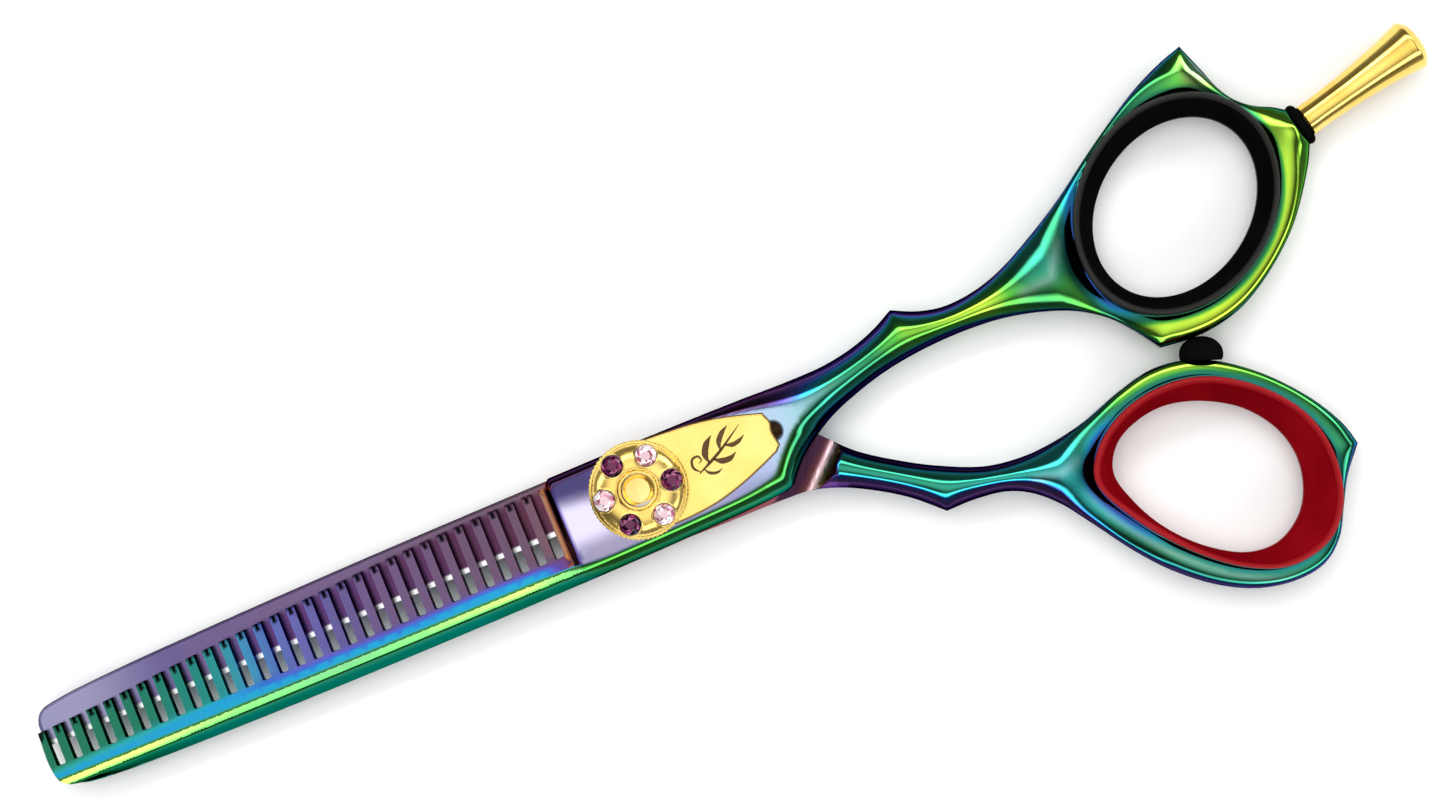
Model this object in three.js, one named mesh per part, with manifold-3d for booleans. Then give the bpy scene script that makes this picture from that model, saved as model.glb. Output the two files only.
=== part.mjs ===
// Thinning shears for hairdressing: a toothed (comb) half and a plain-edged half that turn on one
// pivot stud, with a jewelled tension dial, a leaf-shaped tension plate, soft ring inserts, a bumper
// and a screw-in finger rest.
// Millimetres, +Z up out of the dial. The shears lie flat and closed: the pivot axis is Z, the rest
// plane is z = 0, +X runs from the blade tips (at -X) to the finger rings (at +X), and the finger
// ring is on the +Y side.
import * as THREE from "three";
import { mergeVertices } from "three/addons/utils/BufferGeometryUtils.js";
import Module from "manifold-3d";

const wasm = await Module();
wasm.setup();

// ---- driving dimensions ----
const MID_Z = 3.6; // the plane where the two halves meet
const HANDLE_HALF = 2.9; // half the thickness of the shanks and rings
const HANDLE_BOTTOM = MID_Z - HANDLE_HALF;
const HANDLE_TOP = MID_Z + HANDLE_HALF;
const RIDE_GAP = 0.05; // from the middle plane to each half's riding face
const OUTLINE_STEP = 1.5; // longest straight piece of a curved outline
const EDGE_BEVEL = 0.55; // bevel width all round the halves
const EDGE_BEVEL_DEPTH = 0.95;

const TOOTH_PITCH = 2.014;
const TOOTH_COUNT = 30;
const GAP_WIDTH = 1.05;
const GAP_ROOT_Y = -3.55;
const FIRST_GAP_X = -10.8; // the gap nearest the pivot
const NOTCH_WIDTH = 0.36; // the groove in each tooth's tip
const NOTCH_DEPTH = 0.8;
const CUTTING_EDGE_Y = -1.2; // the straight blade's edge

const RECESS_END_X = -8.7; // where the thick pivot area steps down to the teeth
const RECESS_SLOPE = 1.2; // length of that step
const SPINE_RIDGE_Y = -4.95;
const RIDGE_Z = 6.15; // top of the toothed area along the spine ridge
const TOOTH_SLOPE = 0.085; // fall of the toothed area for each millimetre from the ridge to the tooth tips
const SPINE_BEVEL_FOOT = [-7.3, 4.15]; // [y, z] where the spine bevel meets the spine's side
const TIP_TAPER = 0.0125; // loss of thickness for each millimetre towards the tip
const TAPER_START_X = -10;

const FINGER_CENTRE = [65.3, 6.35];
const FINGER_TILT = THREE.MathUtils.degToRad(36);
const INSERT_LIP = 0.8; // how far an insert's lips reach over the ring
const INSERT_HALF = MID_Z; // half the insert's height: its lower lip lies on z = 0

const REST_ANGLE = THREE.MathUtils.degToRad(13.4); // the finger rest's axis, from +X towards +Y
const REST_SEAT = [80.85, 9.05];
const BUMPER_ANGLE = THREE.MathUtils.degToRad(70);
const BUMPER_FOOT = [61.7, -10.1];
const BUMPER_RADIUS = 2.4;

const DIAL_RADIUS = 5.4;
const DIAL_BOTTOM = 7.35;
const JEWEL_CIRCLE = 3.78;
const JEWEL_RADIUS = 1.2;
const JEWEL_PHASE = THREE.MathUtils.degToRad(-5);
const JEWEL_SEAT_Z = 8.5;

// The pivot stack, from the back to the front.
const HEAD_RADIUS = 4.0; // the stud's head, in a counterbore of the straight half
const HEAD_TOP = 1.45;
const SHANK_RADIUS = 2.4; // the pivot stud in the bores
const SHANK_TOP = 7.55;
const KEY_RADIUS = 1.65; // the stud's flatted end
const KEY_FLAT_Y = -1.35; // that flat, which keeps the click washer from turning
const STACK_TOP = 9.95;
const BORE_RADIUS = 3.5; // the bush's bore in the comb half
const WASHER_POCKET = 4.8; // radius of the thrust washer's pocket in the straight half
const WASHER_LOW = 3.2;
const CLICK_LOW = 7.85;
const CLICK_HIGH = 8.15;
const CLICK_COUNT = 12;
const DETENT_CIRCLE = 3.45;
const DETENT_ANGLE = JEWEL_PHASE + Math.PI / 6; // between two stones
const DETENT_BALL = 0.32;
const THROUGH = 12; // beyond the object's top, for cuts that go right through

// ---- outlines, as smooth stretches that meet at corners ----
const COMB_OUTLINE = [
  // spine, from the tip to the heel of the pivot area
  [[-70.4, 0.5], [-70.45, -3.6], [-69.9, -5.4], [-68.2, -6.3], [-64, -6.8], [-54, -7.1], [-34, -7.25],
    [-12, -7.1], [4, -6.8], [13, -6.4], [15.4, -6.0], [16.2, -5.1], [18, -3.3], [22, -0.75], [26, 0.75],
    [30, 1.75], [35, 2.35], [40, 2.4], [44, 2.0], [48, 1.0], [51, -0.2], [54, -2.25], [56, -4.5], [58, -7.4]],
  // under the finger ring, from its lower point to the finger rest's seat
  [[58, -7.4], [61, -7.72], [64.5, -7.55], [68, -6.6], [72, -4.3], [76, -0.95], [79, 2.8], [80.7, 5.5],
    [81.36, 6.9]],
  [[81.36, 6.9], [80.34, 11.2]],
  // over the ring to its horn
  [[80.34, 11.2], [79.2, 12.0], [77.3, 13.0], [75.6, 14.5], [74.4, 16.4], [73.5, 18.8], [72.3, 22.0]],
  [[72.3, 22.0], [69.5, 21.1], [66, 19.55], [62, 17.2], [58, 14.6], [54, 11.85], [50, 9.5], [46, 7.45],
    [43, 6.35], [40, 5.8], [37.5, 5.8], [35, 6.4], [32.4, 7.6]],
  // shank and pivot area
  [[32.4, 7.6], [30, 6.4], [27, 5.4], [23.5, 4.8], [19, 4.7], [13, 4.85], [0, 4.95], [-8.8, 4.9]],
  [[-8.8, 4.9], [-9.5, 4.1]],
  // line of the tooth tips
  [[-9.5, 4.1], [-20, 3.9], [-28, 3.55], [-36, 3.05], [-52, 1.9], [-62, 1.05], [-70.4, 0.5]],
];

const STRAIGHT_OUTLINE = [
  [[-70.3, CUTTING_EDGE_Y], [-9.9, CUTTING_EDGE_Y]],
  [[-9.9, CUTTING_EDGE_Y], [-8.7, -3.9], [-6, -5.7], [-2, -6.55], [5, -6.9], [14, -7.0], [17, -7.2], [20, -8.1],
    [24, -10.2], [27, -12.3], [29.8, -14.9]],
  // under the thumb ring
  [[29.8, -14.9], [33, -14.9], [36.5, -15.4], [39, -16.6], [41.5, -18.9], [44, -22.4], [47, -26.8],
    [50, -30.3], [54, -33.6], [58, -35.6], [62, -36.35], [65.5, -35.8], [68, -33.9], [69.8, -30.9],
    [71.4, -28.0], [73.75, -25.1]],
  // over the thumb ring and along the shank to the riding area
  [[73.75, -25.1], [73.2, -22.9], [71.6, -19.7], [69, -16.2], [66, -13.2], [62.5, -10.75], [59.5, -9.55],
    [56, -9.2], [52, -10.05], [47, -11.7], [43, -12.45], [39.5, -12.6], [35.5, -12.0], [31, -10.1],
    [27, -7.8], [23, -4.95], [20.2, -2.0]],
  [[20.2, -2.0], [17, 0.6], [13, 2.9], [9, 4.2], [5, 4.65], [-4, 4.75], [-20, 4.65], [-35, 4.45],
    [-50, 4.1], [-60, 3.75], [-67, 3.25], [-69.5, 2.7], [-70.3, 1.6],
    [-70.3, CUTTING_EDGE_Y]],
];

// The thumb ring is egg-shaped: the insert's lip and the insert's hole.
const THUMB_LIP = [[45.75, -18], [47.3, -14.9], [51, -12.3], [56, -11.2], [61, -12.0], [66, -15.2],
  [69.6, -19.8], [70.75, -24.8], [69.7, -30.2], [66.8, -33.5], [62, -34.5], [57.5, -32.9], [52.5, -28.9],
  [48, -23.2]];
const THUMB_HOLE = [[48.1, -18], [49.6, -15.3], [52.5, -13.8], [56, -13.4], [60, -14.5], [64, -17.1],
  [66.6, -21], [67.1, -25.2], [65.4, -29.4], [62, -31.7], [58.5, -31.6], [54.5, -29.3], [51, -25.6],
  [48.9, -21.6]];

const PLATE_OUTLINE = [
  [[15.4, 2.6], [13, 3.35], [10, 4.1], [6, 4.6], [0, 4.6], [-3.6, 2.9], [-4.6, 0], [-3.6, -3.0], [0, -4.7],
    [6, -4.75], [10, -3.9], [13, -2.85], [15.3, -1.9]],
  [[15.3, -1.9], [15.9, -1.3]],
  [[15.9, -1.3], [15.65, 0.4], [15.85, 1.3], [15.4, 2.6]],
];
const PLATE_PEG = [15.2, 0.35]; // the plate's own peg, in a wider hole in the comb half
const INDEX_HOLE = [15.65, 0.35];
const INDEX_RADIUS = 1.05;

// ---- materials ----
const finish = (color, metalness, roughness) => new THREE.MeshStandardMaterial({ color, metalness, roughness });
const titanium = finish(0x2f9a7a, 1, 0.2);
const steel = finish(0xb9bcc0, 1, 0.3);
const gold = finish(0xd9a83a, 1, 0.28);
const blackRubber = finish(0x131313, 0, 0.55);
const redRubber = finish(0x8f0f17, 0, 0.45);
const nylon = finish(0xe6e2d6, 0, 0.5);
const jewelPink = finish(0xf2b8cf, 0, 0.05);
const jewelDark = finish(0x5a1f48, 0, 0.05);

// ---- helpers ----
function smooth(points, closed, step = OUTLINE_STEP) {
  const curve = new THREE.CatmullRomCurve3(
    points.map(([x, y]) => new THREE.Vector3(x, y, 0)), closed, "centripetal");
  const count = Math.max(1, Math.ceil(curve.getLength() / step));
  const sampled = curve.getSpacedPoints(count).map((p) => new THREE.Vector2(p.x, p.y));
  sampled.pop();
  return sampled;
}

function outline(stretches, step) {
  return stretches.flatMap((points) => {
    const [a, b] = points;
    return points.length === 2 && Math.hypot(b[0] - a[0], b[1] - a[1]) > 0
      ? [new THREE.Vector2(...a)]
      : smooth(points, false, step);
  });
}

function ellipse([cx, cy], a, b, tilt, step = OUTLINE_STEP) {
  const curve = new THREE.EllipseCurve(cx, cy, a, b, 0, 2 * Math.PI, false, tilt);
  const points = curve.getSpacedPoints(Math.ceil(curve.getLength() / step));
  points.pop();
  return points;
}

// A closed loop moved inwards by d, each point along its own normal.
function inset(loop, d) {
  const turn = Math.sign(THREE.ShapeUtils.area(loop));
  return loop.map((p, i) => {
    const before = loop[(i + loop.length - 1) % loop.length];
    const after = loop[(i + 1) % loop.length];
    const along = new THREE.Vector2().subVectors(after, before).normalize();
    return new THREE.Vector2(p.x - turn * d * along.y, p.y + turn * d * along.x);
  });
}

function solidOf(geometry) {
  const bare = geometry.clone();
  bare.deleteAttribute("normal");
  bare.deleteAttribute("uv");
  const merged = mergeVertices(bare, 1e-4);
  return new wasm.Manifold(new wasm.Mesh({
    numProp: 3,
    vertProperties: merged.attributes.position.array,
    triVerts: new Uint32Array(merged.index.array),
  }));
}

// A flat shape between two heights, its rims bevelled by bevel across and bevelDepth down.
function prism(loop, z0, z1, bevel = 0, bevelDepth = bevel) {
  const geometry = new THREE.ExtrudeGeometry(new THREE.Shape(loop), {
    depth: z1 - z0 - 2 * bevelDepth * (bevel > 0),
    bevelEnabled: bevel > 0,
    bevelSize: bevel,
    bevelOffset: -bevel,
    bevelThickness: bevelDepth,
    bevelSegments: 1,
    curveSegments: 1,
  });
  return solidOf(geometry.translate(0, 0, z0 + bevelDepth * (bevel > 0)));
}

// A profile of [radius, height] points turned about Z. It starts and ends on the axis, or closes on itself.
function turned(profile, segments) {
  const points = profile.map(([r, z]) => new THREE.Vector2(r, z));
  if (profile[0][0] > 0) points.push(points[0].clone());
  return solidOf(new THREE.LatheGeometry(points, segments).rotateX(Math.PI / 2));
}

function cylinder(radius, z0, z1, [x, y] = [0, 0], segments = 32) {
  const geometry = new THREE.CylinderGeometry(radius, radius, z1 - z0, segments);
  return solidOf(geometry.rotateX(Math.PI / 2).translate(x, y, (z0 + z1) / 2));
}

function box(x0, x1, y0, y1, z0, z1) {
  return solidOf(new THREE.BoxGeometry(x1 - x0, y1 - y0, z1 - z0)
    .translate((x0 + x1) / 2, (y0 + y1) / 2, (z0 + z1) / 2));
}

// Points [along, z] swept sideways: the profile stands on the line through the pivot at the given angle.
function sweptAcross(profile, angle, halfWidth) {
  const shape = new THREE.Shape(profile.map(([s, z]) => new THREE.Vector2(s, z)));
  const settings = { depth: 2 * halfWidth, bevelEnabled: false, curveSegments: 1 };
  const geometry = new THREE.ExtrudeGeometry(shape, settings);
  geometry.translate(0, 0, -halfWidth).rotateX(Math.PI / 2).rotateZ(angle);
  return solidOf(geometry);
}

// A point's own frame: local Z runs along the in-plane direction at this angle, at the middle height.
function alongDirection(manifold, [x, y], angle) {
  const m = new THREE.Matrix4().makeRotationZ(angle)
    .multiply(new THREE.Matrix4().makeRotationY(Math.PI / 2))
    .premultiply(new THREE.Matrix4().makeTranslation(x, y, MID_Z));
  return manifold.transform(m.elements);
}

const group = new THREE.Group();

function add(name, manifold, material) {
  const { vertProperties, triVerts } = manifold.getMesh();
  const geometry = new THREE.BufferGeometry()
    .setAttribute("position", new THREE.BufferAttribute(vertProperties, 3))
    .setIndex(new THREE.BufferAttribute(triVerts, 1));
  geometry.computeVertexNormals();
  const mesh = new THREE.Mesh(geometry, material);
  mesh.name = name;
  group.add(mesh);
}

// The hollow that the other half rides in: flat at the middle plane, then a concave rise to the handle's full
// thickness. side is +1 where it opens upwards and -1 where it opens downwards.
const RISE_STEPS = 6;
function ridingHollow(angle, start, run, side) {
  const floor = MID_Z - side * RIDE_GAP;
  const reach = side * (HANDLE_HALF + RIDE_GAP + 0.3);
  const rise = Array.from({ length: RISE_STEPS + 1 }, (_, i) => {
    const a = (Math.PI / 2) * (i / RISE_STEPS);
    return [start + run * Math.sin(a), floor + reach * (1 - Math.cos(a))];
  });
  const far = floor + side * 12;
  return sweptAcross([[-120, floor], ...rise, [start + run, far], [-120, far]], angle, 90);
}

// ---- comb half: blade with teeth, shank, finger ring, in one forging ----
const COMB_HOLLOW_ANGLE = THREE.MathUtils.degToRad(61.6);
const fingerHole = (grow) => ellipse(FINGER_CENTRE, 11.8 + grow, 9.8 + grow, FINGER_TILT);

function sheared(manifold) {
  // lowers everything beyond the taper's start, more towards the tip
  return manifold.warp((v) => {
    v[2] += TIP_TAPER * (v[0] - TAPER_START_X);
  });
}

function combHalf() {
  let half = prism(outline(COMB_OUTLINE), HANDLE_BOTTOM, HANDLE_TOP, EDGE_BEVEL, EDGE_BEVEL_DEPTH)
    .subtract(prism(fingerHole(0), 0, THROUGH))
    .subtract(ridingHollow(COMB_HOLLOW_ANGLE, 9.15, 3.2, -1));
  // upper face tapering to the tip
  half = half.subtract(sheared(box(-80, TAPER_START_X, -20, 20, HANDLE_TOP, HANDLE_TOP + 5)));
  // spine bevel
  const [footY, footZ] = SPINE_BEVEL_FOOT;
  const spineProfile = [[SPINE_RIDGE_Y, HANDLE_TOP + 0.05], [footY, footZ], [-12, footZ], [-12, THROUGH],
    [SPINE_RIDGE_Y, THROUGH]];
  const spine = sweptAcross(spineProfile, Math.PI / 2, 80);
  half = half.subtract(spine.intersect(box(-80, 15.2, -20, 0, 0, 20)));
  // the thin toothed area, with its step up to the pivot area
  const beyondTips = 8;
  const tipZ = RIDGE_Z - TOOTH_SLOPE * (beyondTips - SPINE_RIDGE_Y);
  const floorProfile = [[SPINE_RIDGE_Y, RIDGE_Z], [beyondTips, tipZ], [beyondTips, 14], [SPINE_RIDGE_Y, 14]];
  const floorCut = sheared(sweptAcross(floorProfile, Math.PI / 2, 90));
  const stepProfile = [[-90, 3], [RECESS_END_X - RECESS_SLOPE, 3], [RECESS_END_X, HANDLE_TOP + 0.1],
    [RECESS_END_X, 14], [-90, 14]];
  const stepCut = sweptAcross(stepProfile, 0, 20);
  half = half.subtract(floorCut.intersect(stepCut));
  // tooth gaps, and the groove in each tip
  const tipLine = new THREE.CatmullRomCurve3(
    COMB_OUTLINE.at(-1).map(([x, y]) => new THREE.Vector3(x, y, 0)), false, "centripetal").getPoints(200);
  for (let i = 0; i < TOOTH_COUNT; i++) {
    const x = FIRST_GAP_X - i * TOOTH_PITCH;
    half = half.subtract(box(x - GAP_WIDTH / 2, x + GAP_WIDTH / 2, GAP_ROOT_Y, 10, 0, THROUGH));
    const toothX = x - TOOTH_PITCH / 2;
    const tipY = tipLine.reduce((a, b) => (Math.abs(b.x - toothX) < Math.abs(a.x - toothX) ? b : a)).y;
    half = half.subtract(
      box(toothX - NOTCH_WIDTH / 2, toothX + NOTCH_WIDTH / 2, tipY - NOTCH_DEPTH, tipY + 2, 0, THROUGH));
  }
  // pivot bore, index hole, and the tapped hole for the finger rest
  const restHole = alongDirection(cylinder(1.3, -3.2, 2, [0, 0], 24), REST_SEAT, REST_ANGLE);
  return half
    .subtract(cylinder(BORE_RADIUS, 0, THROUGH))
    .subtract(cylinder(INDEX_RADIUS, 0, THROUGH, INDEX_HOLE, 24))
    .subtract(restHole);
}

// ---- straight half: plain blade, shank, thumb ring ----
const STRAIGHT_HOLLOW_ANGLE = THREE.MathUtils.degToRad(-47);
const thumbLip = smooth(THUMB_LIP, true);
const thumbRingHole = inset(thumbLip, INSERT_LIP);

function straightHalf() {
  let half = prism(outline(STRAIGHT_OUTLINE), HANDLE_BOTTOM, HANDLE_TOP, EDGE_BEVEL, EDGE_BEVEL_DEPTH)
    .subtract(prism(thumbRingHole, 0, THROUGH))
    .subtract(ridingHollow(STRAIGHT_HOLLOW_ANGLE, 15.35, 3.3, 1));
  // outer face: thin towards the tip, and ground down to the cutting edge
  const outerTaper = box(-80, TAPER_START_X, -20, 20, HANDLE_BOTTOM - 5, HANDLE_BOTTOM).warp((v) => {
    v[2] -= TIP_TAPER * (v[0] - TAPER_START_X);
  });
  const edgeZ = 3.1;
  const grindWidth = 3.1;
  const grindEnd = CUTTING_EDGE_Y + grindWidth;
  const edgeGrind = sweptAcross(
    [[CUTTING_EDGE_Y, edgeZ], [grindEnd, HANDLE_BOTTOM - 0.01], [grindEnd, -5], [-4, -5], [-4, edgeZ]],
    Math.PI / 2, 80).intersect(box(-80, -9.9, -20, 20, -10, THROUGH));
  const bumperHole = alongDirection(cylinder(1.0, -1.6, 3, [0, 0], 20), BUMPER_FOOT, BUMPER_ANGLE);
  return half
    .subtract(outerTaper)
    .subtract(edgeGrind)
    .subtract(cylinder(SHANK_RADIUS + 0.1, -1, THROUGH))
    .subtract(cylinder(HEAD_RADIUS + 0.2, -1, HEAD_TOP + 0.1, [0, 0], 40))
    .subtract(cylinder(WASHER_POCKET, WASHER_LOW - 0.1, THROUGH, [0, 0], 40))
    .subtract(bumperHole);
}

// ---- ring inserts: a sleeve inside the ring with a lip above and below it ----
function insert(lip, ringHole, hole) {
  const lipHeight = INSERT_HALF - HANDLE_HALF - 0.1;
  const sleeve = prism(inset(ringHole, 0.12), 0.3, 2 * INSERT_HALF - 0.3);
  const lower = prism(lip, 0, lipHeight, 0.3, 0.2);
  const upper = prism(lip, 2 * INSERT_HALF - lipHeight, 2 * INSERT_HALF, 0.3, 0.2);
  return sleeve.add(lower).add(upper).subtract(prism(hole, -1, 2 * INSERT_HALF + 1));
}

// ---- pivot, from the back to the front ----
function pivotStud() {
  const profile = [[0, 0], [HEAD_RADIUS - 0.4, 0], [HEAD_RADIUS, 0.4], [HEAD_RADIUS, HEAD_TOP],
    [SHANK_RADIUS, HEAD_TOP], [SHANK_RADIUS, SHANK_TOP], [KEY_RADIUS, SHANK_TOP], [KEY_RADIUS, STACK_TOP - 0.4],
    [KEY_RADIUS - 0.35, STACK_TOP - 0.1], [0, STACK_TOP]];
  let stud = turned(profile, 40);
  stud = stud.subtract(box(-4, 4, -4, KEY_FLAT_Y, SHANK_TOP, THROUGH));
  const spannerHoles = [-2.4, 2.4];
  for (const x of spannerHoles) stud = stud.subtract(cylinder(0.6, -1, 0.6, [x, 0], 16));
  return stud;
}

const onCircle = (radius, angle) => [radius * Math.cos(angle), radius * Math.sin(angle)];

const flatRing = (inner, outer, z0, z1, segments = 40) =>
  turned([[inner, z0], [outer, z0], [outer, z1], [inner, z1]], segments);

function tensionPlate() {
  return prism(outline(PLATE_OUTLINE), HANDLE_TOP + 0.1, HANDLE_TOP + 0.7, 0.12)
    .add(cylinder(0.35, 5.4, HANDLE_TOP + 0.4, PLATE_PEG, 14))
    .subtract(cylinder(SHANK_RADIUS + 0.2, 0, THROUGH));
}

// A shallow cone that the dial presses flat.
const discSpring = () => turned([[2.6, 7.5], [4.3, 7.36], [4.3, 7.56], [2.6, 7.7]], 40);

function clickWasher() {
  let washer = flatRing(KEY_RADIUS + 0.1, 4.5, CLICK_LOW, CLICK_HIGH);
  // the straight side of its keyed hole
  washer = washer.add(box(-1.1, 1.1, -3, KEY_FLAT_Y - 0.1, CLICK_LOW, CLICK_HIGH));
  for (let i = 0; i < CLICK_COUNT; i++) {
    const a = (2 * Math.PI * i) / CLICK_COUNT + DETENT_ANGLE;
    washer = washer.subtract(cylinder(0.3, 7, 9, onCircle(DETENT_CIRCLE, a), 12));
  }
  return washer;
}

// ---- dial, with six stones and two click detents ----
function dial() {
  const profile = [[1.8, 8.35], [4.65, 8.35], [4.65, DIAL_BOTTOM], [5.25, DIAL_BOTTOM], [DIAL_RADIUS, 7.5],
    [DIAL_RADIUS, 8.35], [5.2, 8.7], [4.6, 9.15], [3.7, 9.5], [2.5, 9.65], [2.15, 9.7], [2.1, STACK_TOP],
    [1.8, STACK_TOP]];
  let body = turned(profile, 56);
  for (let i = 0; i < 6; i++) {
    const seat = onCircle(JEWEL_CIRCLE, JEWEL_PHASE + (i * Math.PI) / 3);
    body = body.subtract(cylinder(JEWEL_RADIUS + 0.06, JEWEL_SEAT_Z, THROUGH, seat, 20));
  }
  for (const a of [DETENT_ANGLE, DETENT_ANGLE + Math.PI]) {
    body = body.subtract(cylinder(0.45, 8, 9.2, onCircle(DETENT_CIRCLE, a), 14));
  }
  return body;
}

function jewel(angle) {
  const culet = JEWEL_SEAT_Z + 0.06;
  const table = 9.75;
  const profile = [[0, culet], [0.5, culet], [JEWEL_RADIUS, 9.2], [JEWEL_RADIUS, 9.35], [0.72, table],
    [0, table]];
  return turned(profile, 16).translate([...onCircle(JEWEL_CIRCLE, angle), 0]);
}

function detentSpring(angle) {
  const [turns, radius, low, high] = [2, 0.26, 8.83, 9.12];
  class Helix extends THREE.Curve {
    getPoint(t, target = new THREE.Vector3()) {
      const a = 2 * Math.PI * turns * t;
      return target.set(radius * Math.cos(a), radius * Math.sin(a), low + (high - low) * t);
    }
  }
  const wire = new THREE.Shape(ellipse([0, 0], 0.04, 0.04, 0, 0.05));
  const geometry = new THREE.ExtrudeGeometry(wire, { steps: 24, extrudePath: new Helix(), curveSegments: 1 });
  return solidOf(geometry).translate([...onCircle(DETENT_CIRCLE, angle), 0]);
}

function detentBall(angle) {
  const ball = solidOf(new THREE.SphereGeometry(DETENT_BALL, 12, 8));
  return ball.translate([...onCircle(DETENT_CIRCLE, angle), CLICK_HIGH + 0.02 + DETENT_BALL]);
}

// ---- finger rest, its washer, and the bumper between the rings ----
function fingerRest() {
  const profile = [[0, -2.9], [0.9, -2.9], [1.15, -2.6], [1.15, 1.1], [1.75, 1.1], [1.75, 1.6], [1.8, 4.5],
    [2.0, 8], [2.25, 11], [2.55, 13.3], [2.9, 15.0], [2.9, 15.35], [2.6, 15.7], [1.6, 16.15], [0, 16.3]];
  return alongDirection(turned(profile, 28), REST_SEAT, REST_ANGLE);
}

function restWasher() {
  const profile = [[1.3, 0.12], [2.3, 0.12], [2.45, 0.35], [2.45, 0.8], [2.3, 1.0], [1.3, 1.0]];
  return alongDirection(turned(profile, 28), REST_SEAT, REST_ANGLE);
}

function bumper() {
  const head = Array.from({ length: 6 }, (_, i) => {
    const a = (Math.PI / 2) * ((i + 1) / 6);
    return [BUMPER_RADIUS * Math.cos(a), 0.55 + 1.8 * Math.sin(a)];
  });
  head[5] = [0, 2.35];
  const profile = [[0, -1.4], [0.9, -1.4], [0.9, 0.12], [BUMPER_RADIUS, 0.12], [BUMPER_RADIUS, 0.55], ...head];
  return alongDirection(turned(profile, 24), BUMPER_FOOT, BUMPER_ANGLE);
}

add("comb_half", combHalf(), titanium);
add("straight_half", straightHalf(), titanium);
add("finger_ring_insert", insert(
  fingerHole(INSERT_LIP), fingerHole(0), ellipse(FINGER_CENTRE, 10.35, 8.5, FINGER_TILT)), blackRubber);
add("thumb_ring_insert", insert(thumbLip, thumbRingHole, smooth(THUMB_HOLE, true)), redRubber);
add("pivot_stud", pivotStud(), gold);
add("pivot_bush", flatRing(2.5, 3.4, 3.75, 6.45), nylon);
add("thrust_washer", flatRing(2.6, 4.6, WASHER_LOW, MID_Z - RIDE_GAP), nylon);
add("tension_plate", tensionPlate(), gold);
add("disc_spring", discSpring(), steel);
add("click_washer", clickWasher(), steel);
add("tension_dial", dial(), gold);
for (let i = 0; i < 6; i++) {
  const dark = i % 2 === 0;
  const name = (dark ? "dark_stone_" : "pink_stone_") + (Math.floor(i / 2) + 1);
  add(name, jewel(JEWEL_PHASE + (i * Math.PI) / 3), dark ? jewelDark : jewelPink);
}
for (const i of [1, 2]) {
  const angle = DETENT_ANGLE + (i - 1) * Math.PI;
  add("detent_ball_" + i, detentBall(angle), steel);
  add("detent_spring_" + i, detentSpring(angle), steel);
}
add("finger_rest", fingerRest(), gold);
add("finger_rest_washer", restWasher(), blackRubber);
add("bumper", bumper(), blackRubber);

export default group;
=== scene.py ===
import math

import bpy
import numpy as np
from mathutils import Matrix, Vector
from mathutils.geometry import delaunay_2d_cdt


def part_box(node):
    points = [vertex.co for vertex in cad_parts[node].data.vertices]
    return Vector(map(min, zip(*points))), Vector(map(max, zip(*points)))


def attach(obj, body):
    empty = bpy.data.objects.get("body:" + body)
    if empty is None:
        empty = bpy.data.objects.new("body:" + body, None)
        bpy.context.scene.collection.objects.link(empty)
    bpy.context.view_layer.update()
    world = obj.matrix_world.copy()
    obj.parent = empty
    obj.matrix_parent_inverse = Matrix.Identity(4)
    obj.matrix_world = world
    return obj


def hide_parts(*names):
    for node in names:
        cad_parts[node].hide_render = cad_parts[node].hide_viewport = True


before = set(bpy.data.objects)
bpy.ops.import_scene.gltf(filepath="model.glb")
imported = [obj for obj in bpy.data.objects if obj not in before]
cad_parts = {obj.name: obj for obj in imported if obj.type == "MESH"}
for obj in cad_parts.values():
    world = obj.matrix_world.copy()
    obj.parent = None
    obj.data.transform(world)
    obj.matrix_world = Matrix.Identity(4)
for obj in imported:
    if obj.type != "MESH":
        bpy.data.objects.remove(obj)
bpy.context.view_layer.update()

bpy.context.scene.view_settings.view_transform = "Standard"

# Lengths in this script are millimetres, as in the CAD source; a mesh is scaled to metres when it is made.
MM = 0.001

# ---- driving dimensions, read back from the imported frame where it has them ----


def node_box(name):
    """A CAD node's lowest and highest corner, in millimetres."""
    low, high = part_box(name)
    return np.array(low) / MM, np.array(high) / MM


HANDLE_TOP = node_box("comb_half")[1][2]
HANDLE_BOTTOM = node_box("straight_half")[0][2]
MID_Z = (HANDLE_TOP + HANDLE_BOTTOM) / 2
HANDLE_HALF = (HANDLE_TOP - HANDLE_BOTTOM) / 2
RIDE_GAP = 0.05

TOOTH_PITCH = 2.014
TOOTH_COUNT = 30
GAP_WIDTH = 1.05
GAP_ROOT_Y = -3.55
FIRST_GAP_X = -10.8
NOTCH_WIDTH = 0.36
NOTCH_DEPTH = 0.8
NOTCH = [(0.5, 0), (0.2, 0.7), (0, 1), (-0.2, 0.7), (-0.5, 0)]
CUTTING_EDGE_Y = -1.2

BLADE_END_X = -9.9
RECESS_END_X = -8.9
RIDGE_Z = 6.2
SPINE_RIDGE_Y = -4.95
TIP_TAPER = 0.0125
TAPER_START_X = -10
COMB_BORE = 3.5
PLAIN_BORE = 2.5
INDEX_HOLE = (15.65, 0.35)

FINGER_CENTRE = (65.3, 6.35)
FINGER_LIP = (12.6, 10.6)
FINGER_TILT = math.radians(36)
INSERT_REACH = 0.8

REST_ANGLE = math.radians(13.4)
REST_SEAT = (80.85, 9.05)
BUMPER_ANGLE = math.radians(70)
BUMPER_FOOT = (61.7, -10.1)

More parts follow.
